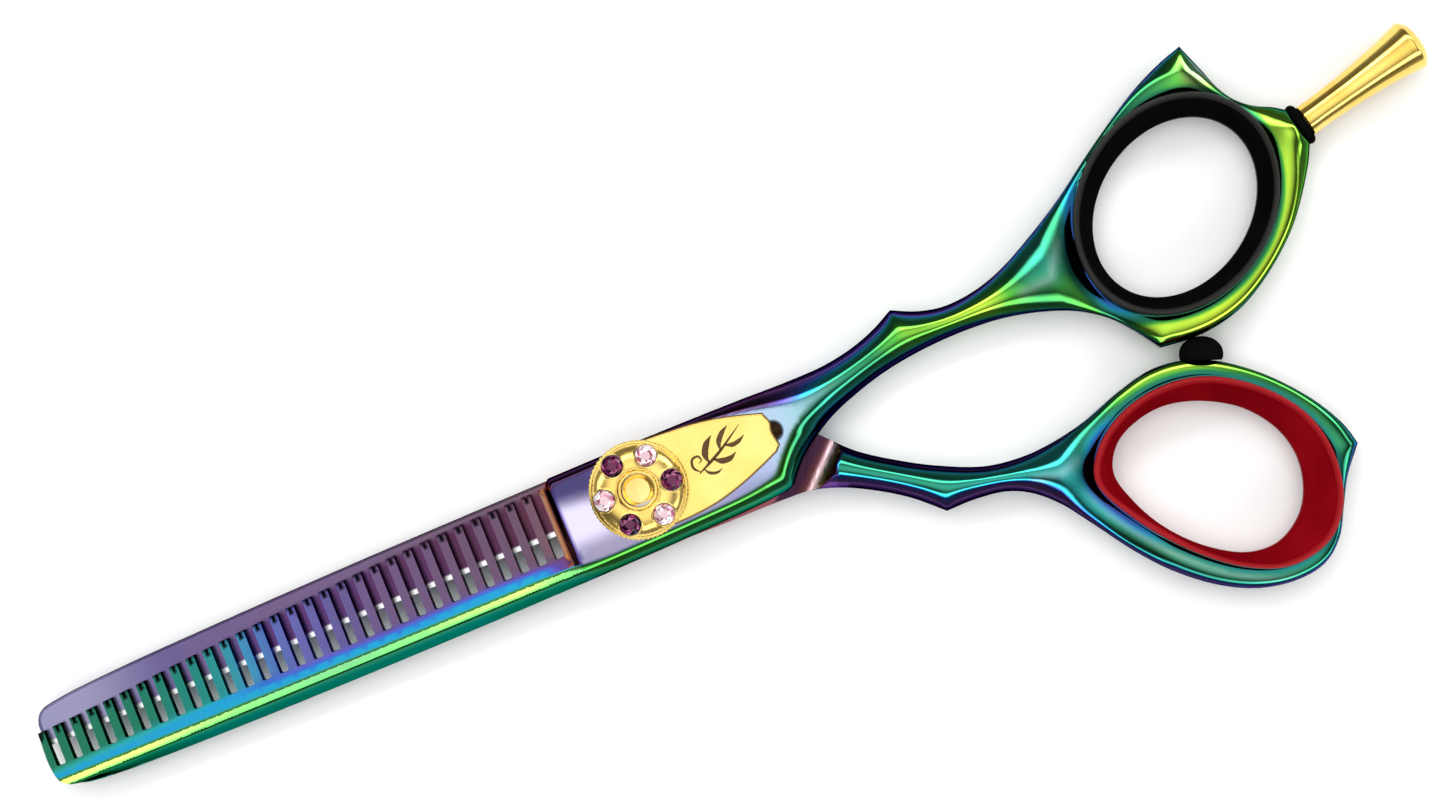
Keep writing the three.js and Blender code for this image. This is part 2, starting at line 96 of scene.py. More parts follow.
DIAL_RADIUS = 5.4
DIAL_TOP = 9.95
DIAL_FLOOR = 8.35
DIAL_SKIRT = (4.65, 7.35)
KNURLS = 64
KNURL_DEPTH = 0.10
JEWEL_CIRCLE = 3.78
JEWEL_PHASE = math.radians(-5)
JEWEL_ANGLES = [JEWEL_PHASE + i * math.pi / 3 for i in range(6)]
SEAT_RADIUS = 1.23

# The slope between each half's riding face and its handle: its direction, where it starts and how far it runs.
COMB_HOLLOW = (math.radians(61.6), 9.15, 3.2)
PLAIN_HOLLOW = (math.radians(-47), 15.35, 3.3)

# ---- outlines: smooth stretches that meet at corners, as in the CAD source ----
COMB_OUTLINE = [
    [(-70.4, 0.5), (-70.45, -3.6), (-69.9, -5.4), (-68.2, -6.3), (-64, -6.8), (-54, -7.1), (-34, -7.25),
     (-12, -7.1), (4, -6.8), (13, -6.4), (15.4, -6.0), (16.2, -5.1), (18, -3.3), (22, -0.75), (26, 0.75),
     (30, 1.75), (35, 2.35), (40, 2.4), (44, 2.0), (48, 1.0), (51, -0.2), (54, -2.25), (56, -4.5), (58, -7.4)],
    [(58, -7.4), (61, -7.72), (64.5, -7.55), (68, -6.6), (72, -4.3), (76, -0.95), (79, 2.8), (80.7, 5.5),
     (81.36, 6.9)],
    [(81.36, 6.9), (80.34, 11.2)],
    [(80.34, 11.2), (79.2, 12.0), (77.3, 13.0), (75.6, 14.5), (74.4, 16.4), (73.5, 18.8), (72.3, 22.0)],
    [(72.3, 22.0), (69.5, 21.1), (66, 19.55), (62, 17.2), (58, 14.6), (54, 11.85), (50, 9.5), (46, 7.45),
     (43, 6.35), (40, 5.8), (37.5, 5.8), (35, 6.4), (32.4, 7.6)],
    [(32.4, 7.6), (30, 6.4), (27, 5.4), (23.5, 4.8), (19, 4.7), (13, 4.85), (0, 4.95), (-8.8, 4.9)],
    [(-8.8, 4.9), (-9.5, 4.1)],
]
TOOTH_TIPS = [(-9.5, 4.1), (-20, 3.9), (-28, 3.55), (-36, 3.05), (-52, 1.9), (-62, 1.05), (-70.4, 0.5)]

PLAIN_OUTLINE = [
    [(-70.3, CUTTING_EDGE_Y), (BLADE_END_X, CUTTING_EDGE_Y)],
    [(BLADE_END_X, CUTTING_EDGE_Y), (-8.7, -3.9), (-6, -5.7), (-2, -6.55), (5, -6.9), (14, -7.0), (17, -7.2),
     (20, -8.1), (24, -10.2), (27, -12.3), (29.8, -14.9)],
    [(29.8, -14.9), (33, -14.9), (36.5, -15.4), (39, -16.6), (41.5, -18.9), (44, -22.4), (47, -26.8),
     (50, -30.3), (54, -33.6), (58, -35.6), (62, -36.32), (65.5, -35.8), (68, -33.9), (69.8, -30.9),
     (71.4, -28.0), (73.75, -25.1)],
    [(73.75, -25.1), (73.2, -22.9), (71.6, -19.7), (69, -16.2), (66, -13.2), (62.5, -10.75), (59.5, -9.55),
     (56, -9.2), (52, -10.05), (47, -11.7), (43, -12.45), (39.5, -12.6), (35.5, -12.0), (31, -10.1),
     (27, -7.8), (23, -4.95), (20.2, -2.0)],
    [(20.2, -2.0), (17, 0.6), (13, 2.9), (9, 4.2), (5, 4.65), (-4, 4.75), (-20, 4.65), (-35, 4.45),
     (-50, 4.1), (-60, 3.75), (-67, 3.25), (-69.5, 2.7), (-70.3, 1.6),
     (-70.3, CUTTING_EDGE_Y)],
]

THUMB_LIP = [
    (45.75, -18), (47.3, -14.9), (51, -12.3), (56, -11.2), (61, -12.0), (66, -15.2), (69.6, -19.8),
    (70.75, -24.8), (69.7, -30.2), (66.8, -33.5), (62, -34.5), (57.5, -32.9), (52.5, -28.9), (48, -23.2)]
THUMB_HOLE = [
    (48.1, -18), (49.6, -15.3), (52.5, -13.8), (56, -13.4), (60, -14.5), (64, -17.1), (66.6, -21),
    (67.1, -25.2), (65.4, -29.4), (62, -31.7), (58.5, -31.6), (54.5, -29.3), (51, -25.6), (48.9, -21.6)]

PLATE_OUTLINE = [
    [(15.4, 2.6), (13, 3.35), (10, 4.1), (6, 4.6), (0, 4.6), (-3.6, 2.9), (-4.6, 0), (-3.6, -3.0), (0, -4.7),
     (6, -4.75), (10, -3.9), (13, -2.85), (15.3, -1.9)],
    [(15.3, -1.9), (15.9, -1.3)],
    [(15.9, -1.3), (15.65, 0.4), (15.85, 1.3), (15.4, 2.6)],
]


# ---- plane curves ----
def spline(points, closed=False, step=0.4):
    """Evenly spaced points on the centripetal Catmull-Rom curve through the points, without its last point."""
    p = np.array(points, float)
    if closed:
        ring = np.vstack([p[-1:], p, p[:2]])
    else:
        ring = np.vstack([2 * p[0] - p[1], p, 2 * p[-1] - p[-2]])
    t = np.linspace(0, 1, 24, endpoint=False)[:, None]
    parts = []
    for a, b, c, d in zip(ring, ring[1:], ring[2:], ring[3:]):
        d0, d1, d2 = (np.sqrt(np.linalg.norm(v)) for v in (b - a, c - b, d - c))
        m1 = ((b - a) / d0 - (c - a) / (d0 + d1) + (c - b) / d1) * d1
        m2 = ((c - b) / d1 - (d - b) / (d1 + d2) + (d - c) / d2) * d1
        parts.append(b + m1 * t + (3 * (c - b) - 2 * m1 - m2) * t**2 + (2 * (b - c) + m1 + m2) * t**3)
    fine = np.vstack(parts + [p[:1] if closed else p[-1:]])
    run = np.concatenate([[0], np.cumsum(np.linalg.norm(np.diff(fine, axis=0), axis=1))])
    where = np.linspace(0, run[-1], max(2, round(run[-1] / step)) + 1)[:-1]
    return np.stack([np.interp(where, run, fine[:, k]) for k in (0, 1)], axis=1)


def outline(stretches, step=0.4):
    """One closed loop from smooth stretches, each starting where the last one ends."""
    return np.vstack([spline(s, step=step) for s in stretches])


def ellipse(centre, a, b, tilt, step=0.4):
    count = round(math.pi * (a + b) / step)
    t = np.linspace(0, 2 * math.pi, count, endpoint=False)
    c, s = math.cos(tilt), math.sin(tilt)
    x, y = a * np.cos(t), b * np.sin(t)
    return np.stack([centre[0] + x * c - y * s, centre[1] + x * s + y * c], axis=1)


def normals(loop):
    """Unit normals of a closed loop, pointing into it."""
    along = np.roll(loop, -1, 0) - np.roll(loop, 1, 0)
    along /= np.linalg.norm(along, axis=1, keepdims=True)
    x, y = loop.T
    turning = np.sign(np.sum(x * np.roll(y, -1) - y * np.roll(x, -1)))
    return np.stack([-along[:, 1], along[:, 0]], axis=1) * turning


def inside(points, loop):
    """Which points lie inside a closed loop."""
    found = np.zeros(len(points), bool)
    x, y = points.T
    for (x1, y1), (x2, y2) in zip(loop, np.roll(loop, -1, 0)):
        if y1 != y2:
            found ^= ((y1 > y) != (y2 > y)) & (x < (x2 - x1) * (y - y1) / (y2 - y1) + x1)
    return found


def within(points, loops):
    """Which points lie inside loops[0] and outside the others."""
    keep = inside(points, loops[0])
    for loop in loops[1:]:
        keep &= ~inside(points, loop)
    return keep


def distance(points, loop):
    """Distance from each point to a closed loop."""
    a, b = loop, np.roll(loop, -1, 0)
    ab = b - a
    size = np.maximum((ab**2).sum(1), 1e-12)
    best = np.empty(len(points))
    for i in range(0, len(points), 2000):
        ap = points[i:i + 2000, None] - a
        t = np.clip((ap * ab).sum(2) / size, 0, 1)
        best[i:i + 2000] = np.sqrt(((ap - t[..., None] * ab) ** 2).sum(2).min(1))
    return best


def soft_distance(points, loop):
    """Like distance, but rounded off along the middle of a narrow shape, where two sides are equally near."""
    a, b = loop, np.roll(loop, -1, 0)
    size = np.linalg.norm(b - a, axis=1)
    u = (b - a) / size[:, None]
    total = np.empty(len(points))
    for i in range(0, len(points), 1500):
        ap = a - points[i:i + 1500, None]
        s1 = (ap * u).sum(2)
        d = np.maximum(np.abs(ap[..., 0] * u[:, 1] - ap[..., 1] * u[:, 0]), 0.01)

        def part(s):
            return s / (2 * d**2 * (d**2 + s**2)) + np.arctan(s / d) / (2 * d**3)

        total[i:i + 1500] = (part(s1 + size) - part(s1)).sum(1)
    return (2 / math.pi * np.maximum(total, 1e-9)) ** (-1 / 3)


def smoothstep(low, high, x):
    t = np.clip((x - low) / (high - low), 0, 1)
    return t * t * (3 - 2 * t)


# ---- meshes ----
def link(name, data):
    obj = bpy.data.objects.new(name, data)
    bpy.context.scene.collection.objects.link(obj)
    return obj


def new_object(name, vertices, faces, material, smooth_angle=32):
    mesh = bpy.data.meshes.new(name)
    mesh.from_pydata((np.asarray(vertices) * MM).tolist(), [], faces)
    mesh.validate()
    mesh.update()
    obj = link(name, mesh)
    mesh.shade_smooth()
    mesh.set_sharp_from_angle(angle=math.radians(smooth_angle))
    mesh.materials.append(material)
    return obj


def place(obj, body, slot, *nodes):
    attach(obj, body)
    if nodes:
        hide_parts(*nodes)
    return obj


def attribute(obj, name, values, domain="POINT"):
    made = obj.data.attributes.new(name, "FLOAT", domain)
    made.data.foreach_set("value", np.asarray(values, np.float32))


def vertex_values(obj, kind):
    """The vertices' places in millimetres (co) or their normals (normal)."""
    values = np.empty(len(obj.data.vertices) * 3)
    obj.data.vertices.foreach_get(kind, values)
    return values.reshape(-1, 3) / (MM if kind == "co" else 1)


def relief(name, loops, rings, cell, top, bottom, material, creases=()):
    """A solid between two height functions of (x, y), over the area inside loops[0] and outside the others.
    rings are the offsets from the loops at which it gets rows of points, cell the spacing inside them, and
    creases further rows of points along folds."""
    inward = [normals(loop) * (-1 if k else 1) for k, loop in enumerate(loops)]
    rows = list(creases)
    for loop, into in zip(loops, inward):
        for d in rings:
            row = loop + into * d
            rows.append(row[np.all([distance(row, other) > 0.93 * d for other in loops], axis=0)])
    low, high = loops[0].min(0), loops[0].max(0)
    gx, gy = np.meshgrid(np.arange(low[0], high[0], cell), np.arange(low[1], high[1], cell * math.sqrt(3) / 2))
    gx[1::2] += cell / 2
    grid = np.stack([gx.ravel(), gy.ravel()], axis=1)
    grid = grid[inside(grid, loops[0])]
    for loop in loops:
        grid = grid[distance(grid, loop) > rings[-1] + cell * 0.6]
    inner = thin(np.vstack(rows + [grid]), min(0.12, cell * 0.2))
    inner = inner[within(inner, loops)]
    edges, start = [], 0
    for loop in loops:
        n = len(loop)
        edges += [(start + i, start + (i + 1) % n) for i in range(n)]
        start += n
    points = [Vector(p) for p in np.vstack(loops + [inner])]
    flat, _, triangles, *_ = delaunay_2d_cdt(points, edges, [], 0, 1e-5)
    flat, triangles = np.array([tuple(v) for v in flat]), np.array(triangles)
    triangles = triangles[within(flat[triangles].mean(1), loops)]
    used, renumbered = np.unique(triangles, return_inverse=True)
    flat, triangles = flat[used], renumbered.reshape(-1, 3)
    a, b, c = (flat[triangles[:, k]] for k in range(3))
    turn = (b[:, 0] - a[:, 0]) * (c[:, 1] - a[:, 1]) - (b[:, 1] - a[:, 1]) * (c[:, 0] - a[:, 0])
    triangles[turn < 0] = triangles[turn < 0][:, ::-1]
    sides = dict.fromkeys(side for t in triangles.tolist() for side in zip(t, t[1:] + t[:1]))
    border = [(i, j) for i, j in sides if (j, i) not in sides]
    n = len(flat)
    z_top = top(flat)
    z_bottom = np.minimum(bottom(flat), z_top - 0.02)
    vertices = np.vstack([np.column_stack([flat, z_top]), np.column_stack([flat, z_bottom])])
    caps = triangles.tolist() + (triangles[:, ::-1] + n).tolist()
    obj = new_object(name, vertices, caps + [(i + n, j + n, j, i) for i, j in border], material)
    # Exact normals for the two height functions; points on an outline take theirs from just inside it.
    rim = np.unique(border)
    at = flat.copy()
    every, into = np.vstack(loops), np.vstack(inward)
    for start in range(0, len(rim), 1000):
        part = rim[start:start + 1000]
        nearest = ((flat[part, None] - every) ** 2).sum(2).argmin(1)
        at[part] += into[nearest] * 0.04
    exact = np.vstack([slope_normals(top, at), -slope_normals(bottom, at)])
    split = np.zeros((len(obj.data.loops), 3))
    split[:3 * len(caps)] = exact[np.ravel(caps)]
    obj.data.normals_split_custom_set(split.tolist())
    return obj


def slope_normals(height, xy, reach=0.02):
    """Upward unit normals of a height function."""
    here = height(xy)
    n = np.stack([here - height(xy + np.array([reach, 0])), here - height(xy + np.array([0, reach])),
                  np.full(len(xy), reach)], axis=1)
    return n / np.linalg.norm(n, axis=1, keepdims=True)


def thin(points, gap):
    """Drops points that share a square of side gap with an earlier one."""
    keys = np.floor(points / gap).astype(int)
    _, first = np.unique(keys, axis=0, return_index=True)
    return points[np.sort(first)]


def loft(name, rows, material, joined):
    """A skin over closed rows of points: its last row joins the first, or both are capped at their middle."""
    rows = np.asarray(rows, float)
    count, size = rows.shape[:2]
    vertices = rows.reshape(-1, 3)
    faces = []
    for i in range(count if joined else count - 1):
        a, b = i * size, (i + 1) % count * size
        faces += [(a + j, a + (j + 1) % size, b + (j + 1) % size, b + j) for j in range(size)]
    for row in () if joined else (0, count - 1):
        middle = len(vertices)
        vertices = np.vstack([vertices, rows[row].mean(0)])
        fan = [(row * size + j, row * size + (j + 1) % size, middle) for j in range(size)]
        faces += fan if row else [f[::-1] for f in fan]
    return new_object(name, vertices, faces, material)


def turned(name, profile, material, segments, matrix):
    """A body of revolution from [radius, height] points: from axis to axis, or a ring closed on itself."""
    ring = profile[0][0] > 0
    t = np.linspace(0, 2 * math.pi, segments, endpoint=False)
    rows = np.array([np.stack([r * np.cos(t), r * np.sin(t), np.full(segments, z)], axis=1)
                     for r, z in (profile if ring else profile[1:-1])])
    m = np.array(matrix)
    return loft(name, rows @ m[:3, :3].T + m[:3, 3], material, ring)


# ---- materials ----
class Nodes:
    """A short way to write the nodes of a material, or of a world."""

    def __init__(self, name, world=False):
        self.owner = (bpy.data.worlds if world else bpy.data.materials).new(name)
        self.owner.use_nodes = True
        self.tree = self.owner.node_tree

    def add(self, kind, inputs=None, **settings):
        node = self.tree.nodes.new(kind)
        for key, value in settings.items():
            setattr(node, key, value)
        for key, value in (inputs or {}).items():
            self.set(node.inputs[key], value)
        return node

    def set(self, socket, value):
        if isinstance(value, bpy.types.NodeSocket):
            self.tree.links.new(value, socket)
        else:
            socket.default_value = value

    def material(self, **values):
        shader = self.tree.nodes["Principled BSDF"]
        for key, value in values.items():
            self.set(shader.inputs[key.replace("_", " ")], value)
        return self.owner

    def math(self, operation, a, b=0.0, clamp=False):
        return self.add("ShaderNodeMath", {0: a, 1: b}, operation=operation, use_clamp=clamp).outputs[0]

    def mix(self, factor, a, b):
        node = self.add("ShaderNodeMix", {0: factor, 6: a, 7: b}, data_type="RGBA", clamp_factor=True)
        return node.outputs[2]

    def noise(self, scale, detail=2.0, stretch=(1, 1, 1), rotation=(0, 0, 0)):
        place = self.add("ShaderNodeTexCoord").outputs["Object"]
        place = self.add("ShaderNodeMapping", {"Vector": place, "Rotation": rotation, "Scale": stretch},
                         vector_type="TEXTURE")
        node = self.add("ShaderNodeTexNoise", {"Vector": place.outputs[0], "Scale": scale, "Detail": detail})
        return node.outputs["Fac"]

    def value(self, name):
        return self.add("ShaderNodeAttribute", attribute_name=name).outputs["Fac"]

    def ramp(self, factor, stops):
        node = self.add("ShaderNodeValToRGB", {"Fac": factor})
        elements = node.color_ramp.elements
        elements[0].position, elements[0].color = stops[0][0], (*stops[0][1], 1)
        elements[1].position, elements[1].color = stops[-1][0], (*stops[-1][1], 1)
        for position, colour in stops[1:-1]:
            elements.new(position).color = (*colour, 1)
        return node.outputs["Color"]

    def bump(self, height, strength, depth_mm):
        node = self.add("ShaderNodeBump", {"Height": height, "Strength": strength, "Distance": depth_mm * MM})
        return node.outputs["Normal"]

    def spread(self, factor, low, high):
        """Maps a noise value to a range."""
        return self.add("ShaderNodeMapRange", {"Value": factor, "From Min": 0.3, "From Max": 0.7,
                                               "To Min": low, "To Max": high}).outputs[0]


# Colours of the coating as it thickens, from yellow-green round to gold.
FILM_COLOURS = [
    (0.00, (0.60, 0.78, 0.05)), (0.10, (0.09, 0.44, 0.05)), (0.20, (0.03, 0.23, 0.09)),
    (0.31, (0.03, 0.27, 0.17)), (0.41, (0.03, 0.38, 0.40)), (0.46, (0.02, 0.34, 0.62)),
    (0.53, (0.04, 0.15, 0.58)), (0.60, (0.11, 0.11, 0.50)), (0.66, (0.10, 0.07, 0.34)),
    (0.75, (0.14, 0.06, 0.22)), (0.85, (0.13, 0.04, 0.09)), (0.94, (0.32, 0.10, 0.05)),
    (1.00, (0.62, 0.32, 0.07)),
]
# Painted highlight colour: the washed-out reflection of bright light, mixed in where the attribute pale is
# high.
PAINTED_GLARE = (0.72, 0.68, 0.86, 1)
BARE_STEEL = (0.80, 0.81, 0.82, 1)
# Painted shade colour, mixed in by the attribute dark for shade and dark reflections.
PAINTED_SHADE = (0.004, 0.005, 0.006, 1)
BRUSH_ANGLE = math.radians(65)


def coated_steel():
    """Mirror-polished steel with a rainbow coating. Point attributes: film picks the colour, pale washes it out
    with painted highlights and reflections, dark takes it down with painted shade and painted dark reflections,
    bare shows honed steel, brushed and ground roughen it with streaks."""
    n = Nodes("coated_steel")
    cloud = n.math("MULTIPLY", n.math("SUBTRACT", n.noise(90, 3), 0.5), 0.10)
    film = n.math("ADD", n.value("film"), cloud, clamp=True)
    colour = n.ramp(film, FILM_COLOURS)
    # Painted highlights and reflections, then painted shade, mixed into the coating's colour.
    colour = n.mix(n.value("pale"), colour, PAINTED_GLARE)
    colour = n.mix(n.value("dark"), colour, PAINTED_SHADE)
    colour = n.mix(n.value("bare"), colour, BARE_STEEL)
    brushed, ground = n.value("brushed"), n.value("ground")
    streaks = n.noise(2600, 3, (25, 1, 1), (0, 0, BRUSH_ANGLE))
    scratches = n.noise(3200, 3, (1, 25, 1))
    polished = n.spread(n.noise(700, 4), 0.06, 0.12)
    rough = n.add("ShaderNodeMix", {0: brushed, 2: polished, 3: n.spread(streaks, 0.18, 0.40)},
                  data_type="FLOAT").outputs[0]
    rough = n.math("ADD", rough, n.math("MULTIPLY", ground, 0.14))
    height = n.math("ADD", n.math("MULTIPLY", streaks, brushed), n.math("MULTIPLY", scratches, ground))
    return n.material(Base_Color=colour, Metallic=1.0, Roughness=rough, Normal=n.bump(height, 0.3, 0.02),
                      Specular_Tint=n.mix(0.85, colour, (0.03, 0.03, 0.05, 1)))


def gold(name, colour, dark, rough, streak=(1, 1, 1), angle=0.0):
    n = Nodes(name)
    tone = n.spread(n.noise(260, 4), 0, 1)
    lines = n.noise(3000, 3, streak, (0, 0, angle))
    return n.material(
        Base_Color=n.mix(tone, (*dark, 1), (*colour, 1)), Metallic=1.0,
        Roughness=n.spread(lines, rough * 0.85, rough * 1.2), Normal=n.bump(lines, 0.1, 0.015))


def rubber(name, colour, worn, rough, painted_lit_colour=None, shine=0.3):
    """Soft rubber or nylon. Where its rim light attribute is 1, on the bead's lit top and the hole's edge, it
    takes a lighter lit colour and its shine: a painted highlight.
    """
    n = Nodes(name)
    grain = n.noise(3500, 3)
    tone = n.spread(n.noise(160, 4), 0, 1)
    shade = n.mix(tone, (*colour, 1), (*worn, 1))
    if painted_lit_colour:
        # Painted highlight: the bead's lit top and the hole's edge take the lighter lit colour.
        shade = n.mix(n.value("painted_rim_light"), shade, (*painted_lit_colour, 1))
        shine = n.math("MULTIPLY", n.value("painted_rim_light"), shine)
    return n.material(
        Base_Color=shade, Roughness=n.spread(grain, rough * 0.9, rough * 1.15),
        Specular_IOR_Level=shine, Normal=n.bump(grain, 0.25, 0.03))


def plain_metal(name, colour, rough):
    n = Nodes(name)
    lines = n.noise(4000, 3, (12, 1, 1))
    tone = n.spread(n.noise(300, 3), 0, 1)
    low = tuple(c * 0.82 for c in colour)
    return n.material(
        Base_Color=n.mix(tone, (*low, 1), (*colour, 1)), Metallic=1.0,
        Roughness=n.spread(lines, rough * 0.8, rough * 1.3), Normal=n.bump(lines, 0.2, 0.02))


def stone(name, deep, light):
    """Cut crystal over foil, with painted glints: each facet's painted brightness, lit or shaded, is in a face
    attribute.
    """
    n = Nodes(name)
    cloud = n.noise(1500, 3)
    # Painted glints from a noise, added to each facet's painted brightness.
    glint = n.math("MULTIPLY", n.math("SUBTRACT", cloud, 0.5), 0.5)
    mixed = n.math("ADD", n.value("painted_facet_glint"), glint, clamp=True)
    return n.material(
        Base_Color=n.mix(mixed, (*deep, 1), (*light, 1)), Roughness=n.spread(cloud, 0.02, 0.06),
        Metallic=0.35, IOR=1.56, Specular_IOR_Level=0.35, Coat_Weight=0.15, Coat_Roughness=0.02)


COATED = coated_steel()
GOLD = gold("gold_metal", (0.95, 0.70, 0.22), (0.86, 0.58, 0.14), 0.22)
STUD_GOLD = gold("stud_gold", (1.0, 0.80, 0.34), (0.82, 0.56, 0.16), 0.22, (14, 1, 1), math.radians(45))
REST_GOLD = gold("rest_gold", (0.97, 0.72, 0.20), (0.86, 0.56, 0.10), 0.15, (30, 1, 1), REST_ANGLE)
# The last colour given to each rubber is its lit colour, painted on the bead as a highlight.
BLACK = rubber("black_rubber", (0.002,) * 3, (0.004,) * 3, 0.4, (0.020, 0.020, 0.019), 0.15)
RED = rubber("red_rubber", (0.17, 0.001, 0.004), (0.24, 0.003, 0.007), 0.4, (0.32, 0.010, 0.014), 0.10)
STEEL = plain_metal("spring_steel", (0.72, 0.73, 0.75), 0.28)
NYLON = rubber("nylon", (0.74, 0.71, 0.63), (0.82, 0.79, 0.71), 0.45)
# Dark brown for the plate's engraving, and for the painted shade disc under the index hole.
ENGRAVING_AND_HOLE_SHADE = plain_metal("engraving_and_hole_shade", (0.15, 0.085, 0.04), 0.5)
# Each stone's deep and light colours are its shaded and lit copies, mixed by the painted glints.
DARK_STONE = stone("dark_stone", (0.010, 0.000, 0.006), (0.20, 0.02, 0.10))
PINK_STONE = stone("pink_stone", (0.36, 0.08, 0.14), (1.0, 0.90, 0.94))


# ---- the two halves ----
FINGER_LIP_LOOP = ellipse(FINGER_CENTRE, *FINGER_LIP, FINGER_TILT)
THUMB_LIP_LOOP = spline(THUMB_LIP, True)


def handle_round(phi, radius, depth, power=1.9):
    """How far a rounded edge lies below the crest, at a distance phi from the outline."""
    t = np.clip(phi / radius, 0, 1)
    return depth * (1 - (1 - (1 - t) ** power) ** (1 / power))


def rise(xy, hollow):
    """How far the riding hollow's floor stands off the middle plane, 0 where the other half rides."""
    angle, start, run = hollow
    s = xy[:, 0] * math.cos(angle) + xy[:, 1] * math.sin(angle)
    t = np.clip((s - start) / run, 0, 1)
    reach = HANDLE_HALF + RIDE_GAP + 0.3
    return np.where(s > start + run, 99.0, reach * (1 - np.sqrt(np.maximum(1 - t**2, 0))))


def smooth_min(a, b, k):
    h = np.clip(0.5 + 0.5 * (b - a) / k, 0, 1)
    return b * (1 - h) + a * h - k * h * (1 - h)


def tooth_edge():
    """The toothed edge, from the pivot end to the blade's tip."""
    tips = spline(TOOTH_TIPS, step=0.2)[::-1]

    def tip(x):
        return np.interp(x, tips[:, 0], tips[:, 1])

    points = [(TOOTH_TIPS[0][0], tip(TOOTH_TIPS[0][0]))]
    r = 0.16
    corner = [(0, r), (0.3 * r, 0.3 * r), (r, 0)]
    for i in range(TOOTH_COUNT):
        x = FIRST_GAP_X - i * TOOTH_PITCH
        right, left = x + GAP_WIDTH / 2, x - GAP_WIDTH / 2
        points += [(right, tip(right))] + [(right - u, GAP_ROOT_Y + v) for u, v in corner]
        points += [(left + u, GAP_ROOT_Y + v) for u, v in corner[::-1]] + [(left, tip(left))]
        middle = x - TOOTH_PITCH / 2
        if i < TOOTH_COUNT - 1:
            points += [(middle + NOTCH_WIDTH * u, tip(middle) - NOTCH_DEPTH * v) for u, v in NOTCH]
    points.append(TOOTH_TIPS[-1])
    dense = []
    for a, b in zip(points, points[1:]):
        a, b = np.array(a), np.array(b)
        steps = max(1, round(np.linalg.norm(b - a) / 0.5))
        dense += [a + (b - a) * k / steps for k in range(steps)]
    return np.array(dense)


def lip_distance(xy, lip):
    """Signed distance to an insert's lip, positive outside it."""
    d = distance(xy, lip)
    return np.where(inside(xy, lip), -d, d)


def crown(x):
    """Width of the rounding along the shank's edges, wider by the rings."""
    return 3.9 + 1.0 * smoothstep(36, 46, x)


def crown_depth(x):
    """How far the rounding falls from the crest to the outline, less on the rings."""
    return 2.6 - 0.6 * smoothstep(38, 50, x)


def seat_drop(xy, lip):
    """How far a ring's face falls away towards the insert's lip, more where the shank joins the ring."""
    drop = np.zeros(len(xy))
    near = xy[:, 0] > 35
    junction = smoothstep(lip[:, 0].min() + 5, lip[:, 0].min(), xy[near, 0])
    t = np.clip(1 - lip_distance(xy[near], lip) / (2.3 + 1.3 * junction), 0, 1)
    drop[near] = (0.75 + 0.45 * junction) * t**1.6
    return drop


def rest_boss(xy):
    """How much higher the metal stands round the finger rest's seat."""
    away = np.hypot(*(xy - np.array(REST_SEAT)).T)
    return 1.0 * np.exp(-((away / 1.9) ** 2))


# Distances from the spine's ridge line at which its bevel bends: a short round, a bright flat, a second bend.
SPINE_BAND = [0, 0.14, 0.90, 1.05]


def spine_edge(x):
    """The outline's y along the blade's spine."""
    return np.interp(x, [-70.45, -70.2, -69.9, -68.2, -64, -54, -34, -12, 4],
                     [-3.0, -4.6, -5.4, -6.3, -6.8, -7.1, -7.25, -7.1, -6.8])


